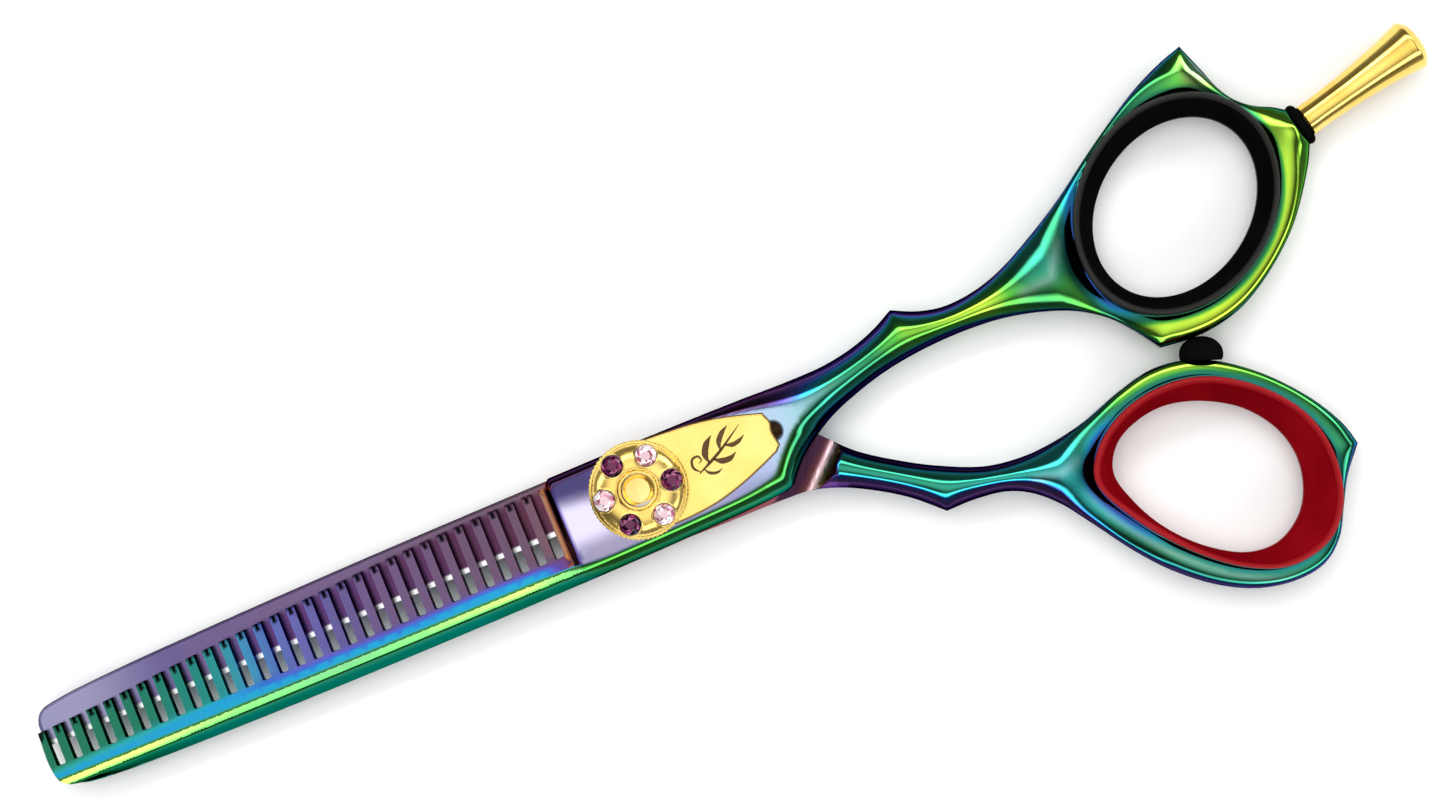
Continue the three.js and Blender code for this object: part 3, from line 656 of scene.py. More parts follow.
def comb_half():
    smooth_loop = np.vstack([outline(COMB_OUTLINE), spline(TOOTH_TIPS)])
    loop = np.vstack([outline(COMB_OUTLINE), tooth_edge()])
    hole = ellipse(FINGER_CENTRE, *(a - INSERT_REACH for a in FINGER_LIP), FINGER_TILT)
    lip = FINGER_LIP_LOOP
    bore = ellipse((0, 0), COMB_BORE, COMB_BORE, 0)
    index_hole = ellipse(INDEX_HOLE, 1.05, 1.05, 0, 0.2)

    def body_top(xy):
        phi = soft_distance(xy, smooth_loop)
        x, y = xy.T
        handle = smoothstep(8, 27, x)
        up = smoothstep(-1, 1, y)
        radius = blend(blend(2.0, 1.0, up), crown(x), handle)
        depth = blend(blend(2.0, 1.1, up), crown_depth(x), handle)
        z = HANDLE_TOP - handle_round(phi, radius, depth, 1.8 - 0.3 * handle)
        return np.minimum(z - seat_drop(xy, lip) + rest_boss(xy), HANDLE_TOP)

    def blade_top(xy):
        x, y = xy.T
        taper = TIP_TAPER * np.minimum(x - TAPER_START_X, 0)
        ridge = RIDGE_Z + taper
        face = ridge - 0.085 * (y - SPINE_RIDGE_Y)
        across = np.maximum(SPINE_RIDGE_Y - y, 0)
        width = SPINE_RIDGE_Y - spine_edge(x)
        low = np.clip((across - SPINE_BAND[-1]) / np.maximum(width - SPINE_BAND[-1], 0.1), 0, 1)
        bevel = ridge - np.interp(across, SPINE_BAND, [0, 0.04, 0.40, 0.52]) - 1.73 * low ** 1.15
        return np.where(y > SPINE_RIDGE_Y, face, bevel)

    def top(xy):
        x, y = xy.T
        wall = np.where(y < SPINE_RIDGE_Y, smoothstep(RECESS_END_X - 4, RECESS_END_X + 4, x),
                        smoothstep(RECESS_END_X - 0.75, RECESS_END_X, x))
        return blend(blade_top(xy), body_top(xy), wall)

    def bottom(xy):
        phi = soft_distance(xy, smooth_loop)
        x = xy[:, 0]
        round_side = HANDLE_BOTTOM + handle_round(phi, crown(x), crown_depth(x), 1.5) + seat_drop(xy, lip)
        round_side = np.maximum(round_side - rest_boss(xy), HANDLE_BOTTOM)
        return np.maximum(round_side, MID_Z + RIDE_GAP - rise(xy, COMB_HOLLOW))

    rings = [0.04, 0.13, 0.26, 0.42, 0.6, 0.8, 1.0, 1.2, 1.4, 1.6, 1.8, 2.0, 2.2, 2.4]
    # Rows of points along the bends of the spine's bevel and of the wall at the recess's end.
    along = np.arange(-69, -5, 0.35)
    folds = [np.column_stack([along, np.full(len(along), SPINE_RIDGE_Y - d)])
             for d in (-0.12, 0.0, 0.14, 0.28, 0.5, 0.72, 0.88, 1.02, 1.16)]
    folds = [row[row[:, 1] > spine_edge(row[:, 0]) + 0.1] for row in folds]
    wall = np.arange(-4.7, 3.8, 0.3)
    folds += [np.column_stack([np.full(len(wall), RECESS_END_X - d), wall])
              for d in (0.0, 0.15, 0.38, 0.6, 0.75)]
    obj = relief("comb_half_metal", [loop, hole, bore, index_hole], rings, 0.5, top, bottom, COATED, folds)
    paint(obj, comb_film)
    return place(obj, "comb_side", "coated_steel", "comb_half")


def straight_half():
    loop = outline(PLAIN_OUTLINE)
    lip = THUMB_LIP_LOOP
    hole = lip + normals(lip) * INSERT_REACH
    bore = ellipse((0, 0), PLAIN_BORE, PLAIN_BORE, 0)

    def top(xy):
        phi = soft_distance(xy, loop)
        round_side = HANDLE_TOP - handle_round(phi, crown(xy[:, 0]), crown_depth(xy[:, 0]), 1.5)
        round_side = round_side - seat_drop(xy, lip)
        edge = 0.35 * (1 - smoothstep(0, 0.35, phi))
        ride = MID_Z - RIDE_GAP + rise(xy, PLAIN_HOLLOW) - edge * (xy[:, 1] > 0)
        return smooth_min(round_side, ride, 0.08)

    def bottom(xy):
        phi = soft_distance(xy, loop)
        x, y = xy.T
        handle = smoothstep(6, 24, x)
        depth = 1.5 + handle * (crown_depth(x) - 1.5)
        z = HANDLE_BOTTOM + handle_round(phi, 1.6 + 2.4 * handle, depth, 1.8 - 0.3 * handle)
        z = z + seat_drop(xy, lip)
        z = z - TIP_TAPER * np.minimum(x - TAPER_START_X, 0)
        grind = 3.1 - (y - CUTTING_EDGE_Y) * 0.78
        return np.where(x < BLADE_END_X, np.maximum(z, np.minimum(grind, 3.4)), z)

    rings = [0.04, 0.14, 0.26, 0.42, 0.48, 0.65, 0.95, 1.3, 1.7, 2.1, 2.5]
    obj = relief("straight_half_metal", [loop, hole, bore], rings, 0.5, top, bottom, COATED)
    paint(obj, straight_film)
    return place(obj, "straight_side", "coated_steel", "straight_half")


def paint(obj, rule):
    """Works out the coating's point attributes from each point's place and direction."""
    for name, values in rule(vertex_values(obj, "co"), vertex_values(obj, "normal")).items():
        attribute(obj, name, values)


def blend(a, b, t):
    return a * (1 - t) + b * t


def follow(x, table):
    """The value at each x of a table of (x, value) pairs."""
    return np.interp(x, *zip(*table))


def strongest(*layers):
    """The largest of several layers at each point."""
    return np.maximum.reduce(layers)


def spot(x, y, centre, radius):
    """1 at a place, fading to 0 round it."""
    return np.exp(-((np.hypot(x - centre[0], y - centre[1]) / radius) ** 2))


def streak(x, y, points, width):
    """1 along a line through the points, fading to 0 across it."""
    near = np.min([np.hypot(x - u, y - v) for u, v in spline(points, step=0.15)], axis=0)
    return np.exp(-((near / width) ** 2))


# The coating's film from place to place, as (x, film) pairs.
TEETH_FILM = [(-70, 0.27), (-58, 0.32), (-52, 0.37), (-46, 0.47), (-40, 0.60), (-32, 0.72), (-24, 0.79),
              (-14, 0.85), (-10, 0.90)]
STEM_FILM = [(-70, 0.33), (-60, 0.42), (-50, 0.50), (-42, 0.59), (-30, 0.59), (-20, 0.50), (-13, 0.62),
             (-10, 0.80)]
RIDGE_FILM = [(-70, 0.02), (-60, 0.04), (-45, 0.12), (-36, 0.16), (-26, 0.08), (-16, 0.05), (-10, 0.12)]
PIVOT_FILM = [(-9, 0.66), (-6, 0.74), (0, 0.66), (5, 0.60), (16, 0.45)]
COMB_CREST_FILM = [(14, 0.30), (22, 0.30), (28, 0.20), (33, 0.07), (42, 0.03), (48, 0.14), (56, 0.07),
                   (66, 0.02), (80, 0.05)]
PLAIN_FILM = [(-70, 0.60), (-60, 0.66), (-48, 0.73), (-30, 0.78), (-18, 0.84), (-10, 0.87)]
PLAIN_CREST_FILM = [(18, 0.30), (30, 0.30), (44, 0.38), (52, 0.08), (62, 0.06), (72, 0.18)]


def comb_film(co, no):
    x, y, z = co.T
    steep = 1 - np.abs(no[:, 2])
    side = smoothstep(-0.5, 0.5, no[:, 1])
    on_blade = x < BLADE_END_X
    to_lip = lip_distance(co[:, :2], FINGER_LIP_LOOP)
    junction = smoothstep(60, 54, x)
    # Blade: the teeth, the stem that they stand on, and the bright band along the spine.
    face = blend(follow(x, TEETH_FILM), follow(x, STEM_FILM), smoothstep(-3.0, -4.2, y))
    face = blend(face, blend(0.455, face, smoothstep(-14, -10, x)), smoothstep(-3.8, -4.4, y))
    spine = np.interp(y, [-7.3, -6.3, -5.9], [0.33, 0.33, 0.16])
    spine = np.where(y > -5.9, blend(0.16, follow(x, RIDGE_FILM), smoothstep(-5.9, -5.6, y)), spine)
    blade = blend(face, spine, smoothstep(-4.85, -5.05, y))
    # Shank and ring: yellow-green or teal along the crest, violet towards the outline.
    upper_ring = smoothstep(2, 12, y) * smoothstep(74, 66, x) * smoothstep(44, 52, x)
    crest = follow(x, COMB_CREST_FILM) + 0.16 * upper_ring
    to_violet = 0.40 * side * smoothstep(76, 66, x) * smoothstep(0.04, 0.4, steep)
    handle = crest + to_violet + steep * (0.26 * (1 - side) + 0.22 * side * smoothstep(66, 76, x))
    edge = 0.66 + 0.04 * side - 0.36 * smoothstep(66, 78, x) - 0.2 * (1 - side) * smoothstep(56, 62, x)
    handle = blend(handle, edge, smoothstep(0.22, 0.36, steep))
    handle = blend(handle, 0.37, 0.8 * spot((x - 49.4) / 3.4, (y - 6.2) / 2.6, (0, 0), 1))
    handle = blend(handle, 0.24 + 0.30 * junction, smoothstep(1.0 + 1.0 * junction, 0.2, to_lip))
    # Pivot: a flat painted pale as a reflection of bright light, a violet corner painted dark as a dark
    # reflection, and the copper wall at the blade's end, painted dark as shade.
    pivot_side = np.where(no[:, 1] > 0, 0.80, np.interp(z, [4.3, 5.4, 6.4], [0.44, 0.26, 0.10]))
    corner = smoothstep(0.6, 3.0, y + 0.12 * (x + 8)) * smoothstep(0, -5, x)
    flat = blend(follow(x, PIVOT_FILM), 0.67, corner)
    pivot = blend(flat, pivot_side, smoothstep(0.01, 0.05, steep))
    film = blend(blade, blend(pivot, handle, smoothstep(14, 24, x)), smoothstep(-9.4, -9.0, x))
    wall = (x > -10.2) & (x < -8.75) & (y > -4.9) & (y < 4.2) & (z < 6.46) & (z > 4.5)
    film = np.where(wall, blend(0.98, 0.91, smoothstep(-9.95, -9.6, x)), film)
    # Painted bright patch: a brighter painted reflection on the pivot flat by the teeth, and less painted shade
    # there.
    painted_bright_patch = smoothstep(-3.8, -2.0, y) * smoothstep(-3, -5.5, x) * (1 - corner)
    painted_flat_glare = smoothstep(-8.9, -8.5, x) * smoothstep(26, 14, x) * smoothstep(0.05, 0.01, steep)
    # Painted highlights and reflections, as pale: the pivot flat's reflection, a faint sheen on the teeth, the
    # highlight along the spine's bend, two highlight streaks where the shank meets the finger ring, and a
    # highlight spot by the ring's top corner.
    pale = strongest(
        painted_flat_glare * blend(0.58 + 0.30 * painted_bright_patch, 0.10, corner),
        0.12 * on_blade * smoothstep(-3.8, -3.3, y) * smoothstep(-52, -42, x) * (steep < 0.2),
        0.10 * (x < -9) * smoothstep(-4.9, -5.15, y) * smoothstep(-5.85, -5.6, y),
        0.16 * streak(x, y, [(46.3, 3.75), (48.2, 3.9), (49.8, 4.1)], 0.5),
        0.16 * streak(x, y, [(49.8, 4.1), (50.7, 5.6), (52.0, 7.4)], 0.5),
        0.30 * spot(x, y, (73.2, 18.6), 1.6))
    toothed = on_blade & (y > GAP_ROOT_Y - 0.3)
    tip = follow(x, TOOTH_TIPS[::-1])
    in_tooth = (x - FIRST_GAP_X) % TOOTH_PITCH - TOOTH_PITCH / 2
    notch = (np.abs(in_tooth) < NOTCH_WIDTH / 2 + 0.05) & (y > tip - NOTCH_DEPTH - 0.05)
    tip_edge = (in_tooth > -0.1) & (y > tip - 0.22)
    # Painted shade and painted dark reflections, as dark: the teeth's walls, notches and tips in shadow, the
    # teeth's faces, a line along the spine's bend and its lower side, the wall at the blade's end, the pivot
    # flat's upper edge, round the index hole, the steep flanks towards the outline, and a crescent by the
    # insert's lip.
    dark = strongest(
        0.9 * (toothed & (steep > 0.35)),
        0.97 * (toothed & (notch | tip_edge)),
        0.36 * on_blade * (y > -3.6) * (steep < 0.1),
        0.35 * (x < -9) * smoothstep(-4.9, -5.1, y) * smoothstep(-5.9, -5.7, y),
        0.45 * smoothstep(-5.9, -6.5, y) * (x < 16),
        wall * (0.15 + 0.45 * smoothstep(-9.9, -9.5, x)),
        0.72 * smoothstep(0.008, 0.03, steep) * smoothstep(21, 15, x) * (y > 1.5) * (x > -9),
        0.8 * (np.hypot(x - INDEX_HOLE[0], y - INDEX_HOLE[1]) < 1.25),
        0.84 * smoothstep(0.24, 0.36, steep) * smoothstep(10, 20, x),
        0.6 * smoothstep(0.9 + 1.1 * junction, 0.2, to_lip))
    dark = np.where(on_blade & (y > SPINE_RIDGE_Y) & (y < -3.6) & (steep < 0.1), 0.08, dark)
    # Painted dark reflection on the pivot flat, deeper towards its lower edge and in its violet corner, lighter
    # under the painted bright patch; and painted shade on the steep sides up to the pivot.
    shade = blend(0.24 - 0.2 * painted_bright_patch + 0.18 * smoothstep(-3.0, -4.4, y), 0.66, corner)
    dark = strongest(dark, 0.35 * smoothstep(0.45, 0.8, steep) * (x < 15),
                     shade * (steep < 0.1) * smoothstep(20, 12, x) * (x > -9))
    return {"film": film, "pale": pale, "dark": dark, "bare": 0 * x, "brushed": 0 * x,
            "ground": smoothstep(-9.8, -10, x) * (y > SPINE_RIDGE_Y)}


def straight_film(co, no):
    x, y, z = co.T
    steep = 1 - np.abs(no[:, 2])
    side = smoothstep(-0.5, 0.5, no[:, 1])
    on_blade = x < BLADE_END_X
    blade_face = on_blade & (z > 3.3)
    to_lip = lip_distance(co[:, :2], THUMB_LIP_LOOP)
    junction = smoothstep(52, 47, x)
    # Shank and ring: teal or yellow-green along the crest, violet towards the outline.
    low_ring = smoothstep(-20, -30, y)
    crest = blend(follow(x, PLAIN_CREST_FILM), 0.27, low_ring)
    to_violet = 0.44 * (1 - side) * (1 - 0.45 * smoothstep(58, 70, x)) * smoothstep(0.04, 0.28, steep)
    handle = crest + to_violet - 0.02 * side * steep
    edge = np.interp(y, [-36, -28, -15], [0.64, 0.68, 0.72])
    handle = blend(handle, edge, smoothstep(0.22, 0.36, steep) * (1 - 0.6 * side * smoothstep(60, 66, x)))
    handle = blend(handle, 0.38 + 0.18 * junction, smoothstep(1.0 + 1.0 * junction, 0.2, to_lip))
    film = blend(follow(x, PLAIN_FILM), handle, smoothstep(14, 17, x))
    # The riding hollow: brushed copper, painted with the bands of a concave reflection: the colour across it, a
    # pale painted highlight down its middle and painted dark reflections at its sides.
    angle, start, run = PLAIN_HOLLOW
    s = x * math.cos(angle) + y * math.sin(angle)
    hollow = (s > start - 1.5) & (s < start + run + 0.1) & (no[:, 2] > 0.05) & (z > 3.4)
    hollow &= rise(co[:, :2], PLAIN_HOLLOW) + MID_Z - RIDE_GAP < z + 0.06
    across = np.clip((s - start) / run, 0, 1)
    film = np.where(hollow, follow(across, [(0, 0.82), (0.3, 0.88), (0.5, 0.96), (0.7, 0.96), (1, 0.92)]), film)
    # Painted reflection on the blade's face: paler towards the tip, less where it lies behind the comb's teeth.
    behind_teeth = smoothstep(0.3, -0.5, y - follow(x, TOOTH_TIPS[::-1])) * smoothstep(-52, -42, x)
    painted_blade_glare = 0.15 * (1 - behind_teeth) + 0.40 * smoothstep(-54, -66, x)
    low_left = smoothstep(-17, -21, y) * smoothstep(64, 58, x)
    # Painted highlights, as pale: the hollow's middle band, the blade face's reflection, a streak where the
    # shank meets the thumb ring, and a line along the ring's lower left.
    pale = strongest(
        hollow * np.interp(across, [0.3, 0.42, 0.55, 0.66], [0, 0.45, 0.45, 0]),
        painted_blade_glare * blade_face * (y > -0.7),
        0.16 * streak(x, y, [(40.0, -15.4), (42.6, -15.8), (44.9, -15.2)], 0.5),
        0.16 * low_left * np.exp(-((to_lip - 1.1) / 0.32) ** 2))
    # Painted shade and painted dark reflections, as dark: the hollow's sides, the blade, the steep flanks
    # towards the outline, the shank's lower flank by the thumb ring, a crescent by the insert's lip, and the
    # ring's lower plateau.
    dark = strongest(
        hollow * follow(across, [(0, 0.7), (0.3, 0.45), (0.42, 0), (0.58, 0), (0.72, 0.5), (1, 0.75)]),
        on_blade * (0.38 + 0.4 * smoothstep(0.25, 0.6, steep)),
        0.84 * smoothstep(0.24, 0.36, steep) * (x > 21),
        0.45 * (1 - side) * smoothstep(0.06, 0.25, steep) * (x > 20) * smoothstep(52, 46, x),
        0.6 * smoothstep(0.9 + 1.1 * junction, 0.2, to_lip),
        0.5 * low_ring * smoothstep(1.4, 2.0, to_lip) * (steep < 0.2))
    return {"film": film, "pale": pale, "dark": dark, "bare": blade_face & (y < CUTTING_EDGE_Y + 0.45),
            "brushed": hollow, "ground": blade_face}


# ---- ring inserts ----
# A sleeve's profile from its outside inwards, as (place, height), the height in half heights of the sleeve. The
# places on the tucked side and the bead are millimetres from the lip, and those on the funnel are shares of the
# way on to the hole.
TUCK = [(0.60, 0.60), (0.08, 0.62)]
BEAD = [(0.0, 0.84), (0.02, 0.91), (0.08, 0.96), (0.18, 0.99), (0.32, 1.0), (0.48, 0.985), (0.58, 0.955),
        (0.62, 0.925), (0.66, 0.925), (0.72, 0.94), (0.80, 0.935), (0.86, 0.90)]
FUNNEL = [(0.12, 0.84), (0.35, 0.66), (0.62, 0.44), (0.88, 0.24), (0.97, 0.16), (1.0, 0.08)]
SLEEVE_POINTS = 260


def insert(name, lip, hole, material, slot, body, node):
    """A soft sleeve: a bead round its upper and lower rim, and a waist that funnels in to the hole."""
    low, high = node_box(node)
    middle, half = (low[2] + high[2]) / 2, (high[2] - low[2]) / 2
    lip, hole = spread(lip, SLEEVE_POINTS), spread(hole, SLEEVE_POINTS)
    width = np.linalg.norm(hole - lip, axis=1, keepdims=True)
    inward = (hole - lip) / width
    bead_end = BEAD[-1][0]
    upper = [(lip + inward * s, half * v) for s, v in TUCK + BEAD]
    upper += [(lip + inward * (bead_end + (width - bead_end) * t), half * v) for t, v in FUNNEL]
    rows = [(xy, middle + z) for xy, z in upper] + [(xy, middle - z) for xy, z in upper[::-1]]
    rows = [np.column_stack([xy, np.full(len(xy), z)]) for xy, z in rows]
    obj = loft(name, rows, material, True)
    # Painted rim light: the bead's lit top, and a fainter painted highlight on the hole's edge.
    painted_rim_light = [0, 0] + [(0.08 <= s <= 0.70) * 0.9 for s, _ in BEAD] + [0] * (len(FUNNEL) - 1) + [0.5]
    attribute(obj, "painted_rim_light", np.repeat(painted_rim_light + painted_rim_light[::-1], SLEEVE_POINTS))
    return place(obj, body, slot, node)


def spread(loop, count):
    """The loop as points at even angles round its middle."""
    centre = (loop.min(0) + loop.max(0)) / 2
    angle = np.arctan2(*(loop - centre).T[::-1])
    order = np.argsort(angle)
    angle, loop = angle[order], loop[order]
    wanted = np.linspace(-math.pi, math.pi, count, endpoint=False)
    return np.stack([np.interp(wanted, angle, loop[:, k], period=2 * math.pi) for k in (0, 1)], axis=1)


def inserts():
    insert("finger_ring_sleeve", FINGER_LIP_LOOP,
           ellipse((65.3, 6.1), 10.4, 8.2, math.radians(34)), BLACK, "black_rubber", "comb_side",
           "finger_ring_insert")
    insert("thumb_ring_sleeve", THUMB_LIP_LOOP, spline(THUMB_HOLE, True), RED, "red_rubber",
           "straight_side", "thumb_ring_insert")


# ---- stage, lights and camera ----
AIM = (11.8, 5.35)
CAMERA_OVER = (24, -1)
CAMERA_RISE = 400.0
FRAME_WIDTH = 157.0
ROLL = math.radians(22.5)

FLOOR_REACH = 3000
FLOOR_Z = -0.05
KEY_PLACE = (-60, 90, 700)
KEY_AIM = (10, 0, 0)
KEY_SIZE = 600
KEY_POWER = 2.0

# Brightness of the surroundings by height above the horizon (sine), and windows in the plane overhead at a
# height of 1: u0, u1, v0, v1, softness of the edge, brightness.
SKY = [(0.0, 0.30), (0.12, 0.30), (0.35, 0.13), (0.76, 0.12), (0.88, 0.75), (0.96, 1.25), (1.0, 1.5)]
WINDOWS = [(-1.8, 1.8, 0.62, 0.98, 0.14, 4.5), (-1.6, 1.6, -1.45, -0.95, 0.16, 3.6),
           (1.2, 2.0, -0.7, 0.9, 0.25, 3.5)]


def camera():
    """Looks straight down, and its small shift puts the object in the middle of the frame."""
    data = bpy.data.cameras.new("camera")
    obj = link("camera", data)
    centre = Vector((*CAMERA_OVER, MID_Z + CAMERA_RISE)) * MM
    obj.matrix_world = Matrix.Translation(centre) @ Matrix.Rotation(-ROLL, 4, "Z")
    data.lens = data.sensor_width * CAMERA_RISE / FRAME_WIDTH
    dx, dy = AIM[0] - CAMERA_OVER[0], AIM[1] - CAMERA_OVER[1]
    data.shift_x = (dx * math.cos(ROLL) - dy * math.sin(ROLL)) / FRAME_WIDTH
    data.shift_y = (dx * math.sin(ROLL) + dy * math.cos(ROLL)) / FRAME_WIDTH
    data.clip_start, data.clip_end = 0.01, 20
    bpy.context.scene.camera = obj


def stage():
    mesh = bpy.data.meshes.new("floor")
    corners = [(x * FLOOR_REACH * MM, y * FLOOR_REACH * MM, FLOOR_Z * MM)
               for x, y in ((-1, -1), (1, -1), (1, 1), (-1, 1))]
    mesh.from_pydata(corners, [], [(0, 1, 2, 3)])
    mesh.materials.append(Nodes("paper").material(Base_Color=(0.90, 0.905, 0.90, 1), Roughness=0.75))
    floor = link("floor", mesh)


def overhead():
    """A wide softbox that lights the floor and stays out of the metal's reflections."""
    data = bpy.data.lights.new("overhead", "AREA")
    data.size = KEY_SIZE * MM
    data.energy = KEY_POWER
    lamp = link("overhead", data)
    lamp.location = Vector(KEY_PLACE) * MM
    lamp.rotation_mode = "QUATERNION"
    lamp.rotation_quaternion = (Vector(KEY_AIM) * MM - lamp.location).to_track_quat("-Z", "Y")
    lamp.visible_camera = lamp.visible_glossy = False


def sky():
    """A pale studio: soft overhead light, a darker band round it, pale walls, and three soft windows."""
    n = Nodes("studio", world=True)
    bpy.context.scene.world = n.owner
    direction = n.add("ShaderNodeTexCoord").outputs["Generated"]
    x, y, z = n.add("ShaderNodeSeparateXYZ", {0: direction}).outputs
    upward = n.math("MAXIMUM", z, 0.02)
    u, v = n.math("DIVIDE", x, upward), n.math("DIVIDE", y, upward)

    def ease(value, start, end):
        return n.add("ShaderNodeMapRange", {0: value, 1: start, 2: end},
                     interpolation_type="SMOOTHSTEP").outputs[0]

    total = n.ramp(z, [(height, (grey,) * 3) for height, grey in SKY])
    for u0, u1, v0, v1, edge, level in WINDOWS:
        light = level
        for value, low, high in ((u, u0, u1), (v, v0, v1)):
            light = n.math("MULTIPLY", ease(value, low - edge, low + edge), light)
            light = n.math("MULTIPLY", ease(value, high + edge, high - edge), light)
        total = n.math("ADD", total, light)
    n.set(n.tree.nodes["Background"].inputs["Color"], total)


# ---- tension dial, stones, plate ----
def wobble(seed):
    """A repeatable value from 0 to 1."""
    return math.modf(abs(math.sin(seed * 12.9898) * 43758.5453))[0]


def jewel_centre(angle):
    return JEWEL_CIRCLE * math.cos(angle), JEWEL_CIRCLE * math.sin(angle)


def dial():
    t = np.linspace(0, 2 * math.pi, KNURLS * 4, endpoint=False)
    r = DIAL_RADIUS - KNURL_DEPTH * np.tile([0.0, 0.45, 1.0, 0.45], KNURLS)
    rim = np.stack([r * np.cos(t), r * np.sin(t)], axis=1)
    bore = ellipse((0, 0), 1.8, 1.8, 0, 0.15)
    centres = [jewel_centre(a) for a in JEWEL_ANGLES]
    seats = [ellipse(centre, SEAT_RADIUS, SEAT_RADIUS, 0, 0.18) for centre in centres]
    profile = [
        (1.80, 9.86), (1.84, 9.92), (1.92, 9.95), (2.02, 9.95), (2.09, 9.91), (2.13, 9.82), (2.17, 9.64),
        (2.25, 9.57), (2.5, 9.62), (2.9, 9.64), (3.5, 9.56), (4.0, 9.40), (4.5, 9.14), (4.8, 8.90), (5.0, 8.66),
        (5.05, 8.50), (5.12, 8.46), (5.22, 8.45), (5.32, 8.37), (5.40, 8.22)]
    curve = np.vstack([spline(profile, step=0.03), profile[-1:]])

    def top(xy):
        z = np.interp(np.hypot(*xy.T), curve[:, 0], curve[:, 1])
        for centre in centres:
            past_seat = np.hypot(*(xy - centre).T) - SEAT_RADIUS
            z = z + 0.05 * np.exp(-((past_seat - 0.03) / 0.07) ** 2)
        return np.minimum(z, DIAL_TOP)

    def bottom(xy):
        return np.where(np.hypot(*xy.T) < DIAL_SKIRT[0], DIAL_FLOOR, DIAL_SKIRT[1])

    obj = relief("dial", [rim, bore] + seats, [0.03, 0.08, 0.14, 0.2, 0.27, 0.35], 0.2, top, bottom, GOLD)
    return place(obj, "dial", "gold_metal", "tension_dial")


def gem(name, centre, material, slot, node, turn):
    """A brilliant-cut stone: table, two rows of crown facets, girdle and a foil-backed point."""
    x0, y0 = centre
    rows = [(0.50, 9.70, 8, 0.0), (0.82, 9.58, 8, 0.5), (1.13, 9.38, 16, 0.25), (1.17, 9.28, 16, 0.25),
            (0.5, 8.62, 8, 0.0)]
    vertices, index = [], []
    for r, z, count, shift in rows:
        index.append(range(len(vertices), len(vertices) + count))
        for k in range(count):
            a = 2 * math.pi * (k + shift) / count + turn
            vertices.append((x0 + r * math.cos(a), y0 + r * math.sin(a), z))
    table, star, crown, girdle, point = (list(i) for i in index)
    faces = [tuple(table)]
    # Each corner of the table with the next one, and the points of the 16-sided rows below it.
    corners = [(k, (k + 1) % 8, 2 * k, 2 * k + 1, (2 * k + 2) % 16) for k in range(8)]
    for k, n, a, b, c in corners:
        faces += [(table[k], star[k], table[n]), (star[k], crown[a], crown[b]), (star[k], crown[b], star[n]),
                  (star[k], star[n], table[n]), (star[n], crown[b], crown[c])]
    faces += [(crown[k], girdle[k], girdle[(k + 1) % 16], crown[(k + 1) % 16]) for k in range(16)]
    for k, n, a, b, c in corners:
        faces += [(girdle[a], point[k], girdle[b]), (girdle[b], point[k], point[n], girdle[c])]
    faces.append(tuple(point[::-1]))
    obj = new_object(name, vertices, faces, material, 1)
    obj.data.shade_flat()
    # Painted glints: a lit or shaded brightness for each facet, the table half lit.
    painted_facet_glint = [smoothstep(0.15, 0.85, wobble(k + 10 * turn)) for k in range(len(faces))]
    painted_facet_glint[0] = 0.45
    attribute(obj, "painted_facet_glint", painted_facet_glint, "FACE")
    return place(obj, "dial", slot, node)


def stones():
    for i, angle in enumerate(JEWEL_ANGLES):
        kind, material = ("pink", PINK_STONE) if i % 2 else ("dark", DARK_STONE)
        gem(f"{kind}_gem_{i // 2 + 1}", jewel_centre(angle), material, kind + "_stone",
            f"{kind}_stone_{i // 2 + 1}", angle)


def plate_material():
    """Satin gold with a thin brown edge, where the attribute edge is 1."""
    n = Nodes("plate_gold")
    satin = n.noise(5200, 3)
    tone = n.spread(n.noise(240, 3), 0, 1)
    colour = n.mix(tone, (0.82, 0.62, 0.16, 1), (0.88, 0.72, 0.24, 1))
    colour = n.mix(n.value("edge"), colour, (0.16, 0.06, 0.02, 1))
    return n.material(Base_Color=colour, Metallic=1.0, Roughness=n.spread(satin, 0.16, 0.28),
                      Normal=n.bump(satin, 0.25, 0.015))


PLATE_TOP = node_box("tension_plate")[1][2]
PLATE_ROUND = 0.16


def plate():
    loop = outline(PLATE_OUTLINE, 0.3)
    bore = ellipse((0, 0), 2.6, 2.6, 0)

    def top(xy):
        return PLATE_TOP - handle_round(distance(xy, loop), PLATE_ROUND, PLATE_ROUND, 2)

    obj = relief("plate", [loop, bore], [0.1, 0.28, 0.6, 1.0], 0.7, top,
                 lambda xy: np.full(len(xy), HANDLE_TOP + 0.1), plate_material())
    attribute(obj, "edge", (distance(vertex_values(obj, "co")[:, :2], loop) < 0.12) * 0.9)
    return place(obj, "comb_side", "plate_gold", "tension_plate")


def stroke(points, widths):
    """The outline of a brush stroke along a curve, its width going through the widths given."""
    line = np.vstack([spline(points, step=0.12), [points[-1]]])
    along = np.gradient(line, axis=0)
    along /= np.linalg.norm(along, axis=1, keepdims=True)
    side = np.stack([-along[:, 1], along[:, 0]], axis=1)
    half = np.interp(np.linspace(0, 1, len(line)), np.linspace(0, 1, len(widths)), widths) * STROKE_HALF
    return np.vstack([line + side * half[:, None], (line - side * half[:, None])[::-1]])


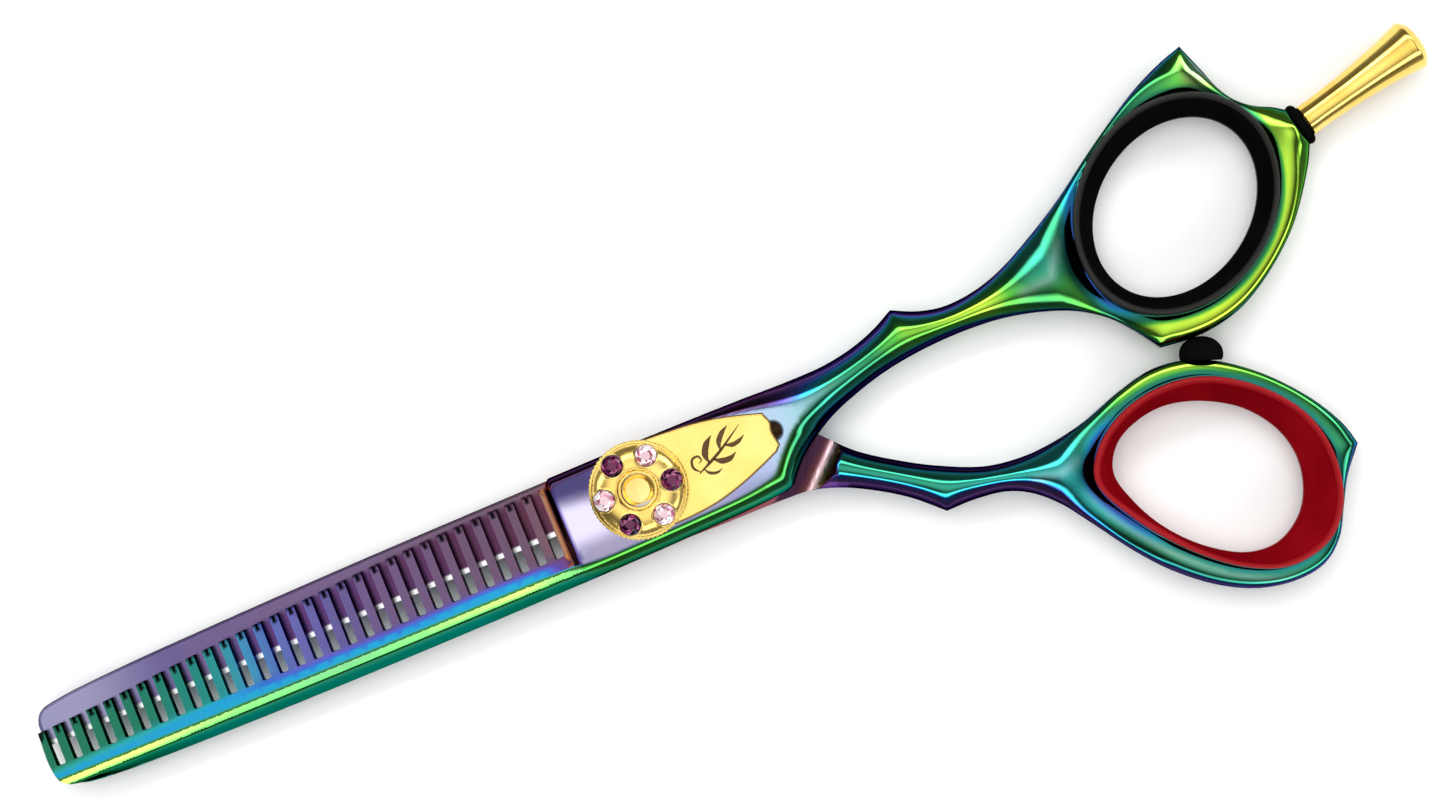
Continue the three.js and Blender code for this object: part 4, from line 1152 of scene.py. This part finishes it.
# A generic sprig: a stem, leaves on both sides of it and a curl, each with its widths from end to end.
STROKE_HALF = 0.68
SPRIG = [
    ([(6.7, -0.9), (8.0, -0.3), (9.6, 0.5), (11.2, 1.5), (12.6, 2.4)], [0.10, 0.26, 0.24, 0.16, 0.05]),
    ([(8.1, -0.25), (8.0, 0.7), (8.5, 1.7), (9.4, 2.5)], [0.08, 0.55, 0.50, 0.03]),
    ([(9.7, 0.6), (9.9, 1.5), (10.6, 2.3), (11.4, 2.8)], [0.08, 0.45, 0.40, 0.03]),
    ([(8.6, 0.0), (9.5, -0.55), (10.4, -0.6), (11.2, -0.2)], [0.08, 0.50, 0.45, 0.03]),
    ([(10.3, 0.95), (11.2, 0.65), (12.0, 0.8), (12.7, 1.2)], [0.08, 0.40, 0.34, 0.03]),
    ([(6.9, -0.8), (6.3, -0.1), (6.5, 0.8), (7.2, 0.9), (7.4, 0.35), (7.0, 0.15)],
     [0.06, 0.22, 0.22, 0.2, 0.16, 0.05]),
    ([(7.3, -0.6), (7.7, -1.2), (8.5, -1.5), (9.2, -1.3)], [0.06, 0.26, 0.24, 0.03]),
]


def ornament():
    for i, (points, widths) in enumerate(SPRIG):
        obj = relief(f"sprig_{i + 1}", [stroke(points, widths)], [0.02], 0.4,
                     lambda xy: np.full(len(xy), PLATE_TOP + 0.008),
                     lambda xy: np.full(len(xy), PLATE_TOP - 0.03), ENGRAVING_AND_HOLE_SHADE)
        place(obj, "comb_side", "plate_gold")


def index_hole_shade_disc():
    """A dark disc under the index hole, behind the plate's end: painted shade that makes the hole look deep and
    dark.
    """
    obj = turned("index_hole_shade_disc", [(0, 3.9), (1.0, 3.9), (1.0, 4.3), (0, 4.3)], ENGRAVING_AND_HOLE_SHADE, 40,
                 Matrix.Translation((*INDEX_HOLE, 0)))
    return place(obj, "comb_side", "coated_steel")


# ---- finger rest, washer and bumper ----
def along_direction(origin, angle):
    """A frame whose Z runs along the in-plane direction at this angle, at the middle height."""
    return (Matrix.Translation((*origin, MID_Z)) @ Matrix.Rotation(angle, 4, "Z")
            @ Matrix.Rotation(math.pi / 2, 4, "Y"))


def finger_rest():
    stud = [(0, -2.9), (0.9, -2.9), (1.15, -2.6), (1.15, -1.2), (0.8, -0.6), (1.15, 0.1), (1.15, 1.1)]
    flare = [(1.70, 1.1), (1.78, 1.2), (1.78, 1.9), (1.76, 2.6), (1.80, 4.5), (1.88, 6.5), (2.0, 8.2),
             (2.18, 10.2), (2.40, 12.1), (2.66, 13.8), (2.84, 14.75)]
    knob = [(2.90, 15.0), (2.90, 15.22), (2.86, 15.32), (2.76, 15.36), (2.70, 15.42), (2.50, 15.70),
            (2.1, 15.97), (1.5, 16.16), (0.8, 16.24), (0, 16.26)]
    obj = turned("finger_rest_body", stud + flare + knob, REST_GOLD, 96,
                 along_direction(REST_SEAT, REST_ANGLE))
    return place(obj, "rest", "gold_metal", "finger_rest")


def rest_washer():
    t = np.linspace(-math.pi / 2, math.pi / 2, 12)
    profile = [(1.3, -0.05)] + [(1.95 + 0.5 * math.cos(a), 0.47 + 0.52 * math.sin(a)) for a in t]
    profile += [(1.3, 0.99)]
    obj = turned("rest_washer_ring", profile, BLACK, 64, along_direction(REST_SEAT, REST_ANGLE))
    return place(obj, "comb_side", "black_rubber", "finger_rest_washer")


def bumper():
    t = np.linspace(0, math.pi / 2, 14)
    profile = [(0, -1.4), (0.45, -1.4), (0.5, -1.3), (0.5, -0.3), (2.2, -0.3), (2.34, -0.1), (2.4, 0.2)]
    profile += [(2.4 * math.cos(a), 0.45 + 1.9 * math.sin(a)) for a in t]
    obj = turned("bumper_dome", profile, BLACK, 64, along_direction(BUMPER_FOOT, BUMPER_ANGLE))
    return place(obj, "straight_side", "black_rubber", "bumper")


camera()
stage()
overhead()
sky()
comb_half()
straight_half()
inserts()
dial()
stones()
plate()
ornament()
index_hole_shade_disc()
finger_rest()
rest_washer()
bumper()

KEPT = {"pivot_stud": STUD_GOLD, "pivot_bush": NYLON, "thrust_washer": NYLON, "disc_spring": STEEL,
        "click_washer": STEEL, "detent_ball_1": STEEL, "detent_ball_2": STEEL, "detent_spring_1": STEEL,
        "detent_spring_2": STEEL}
for node, material in KEPT.items():
    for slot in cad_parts[node].material_slots:
        slot.material = material
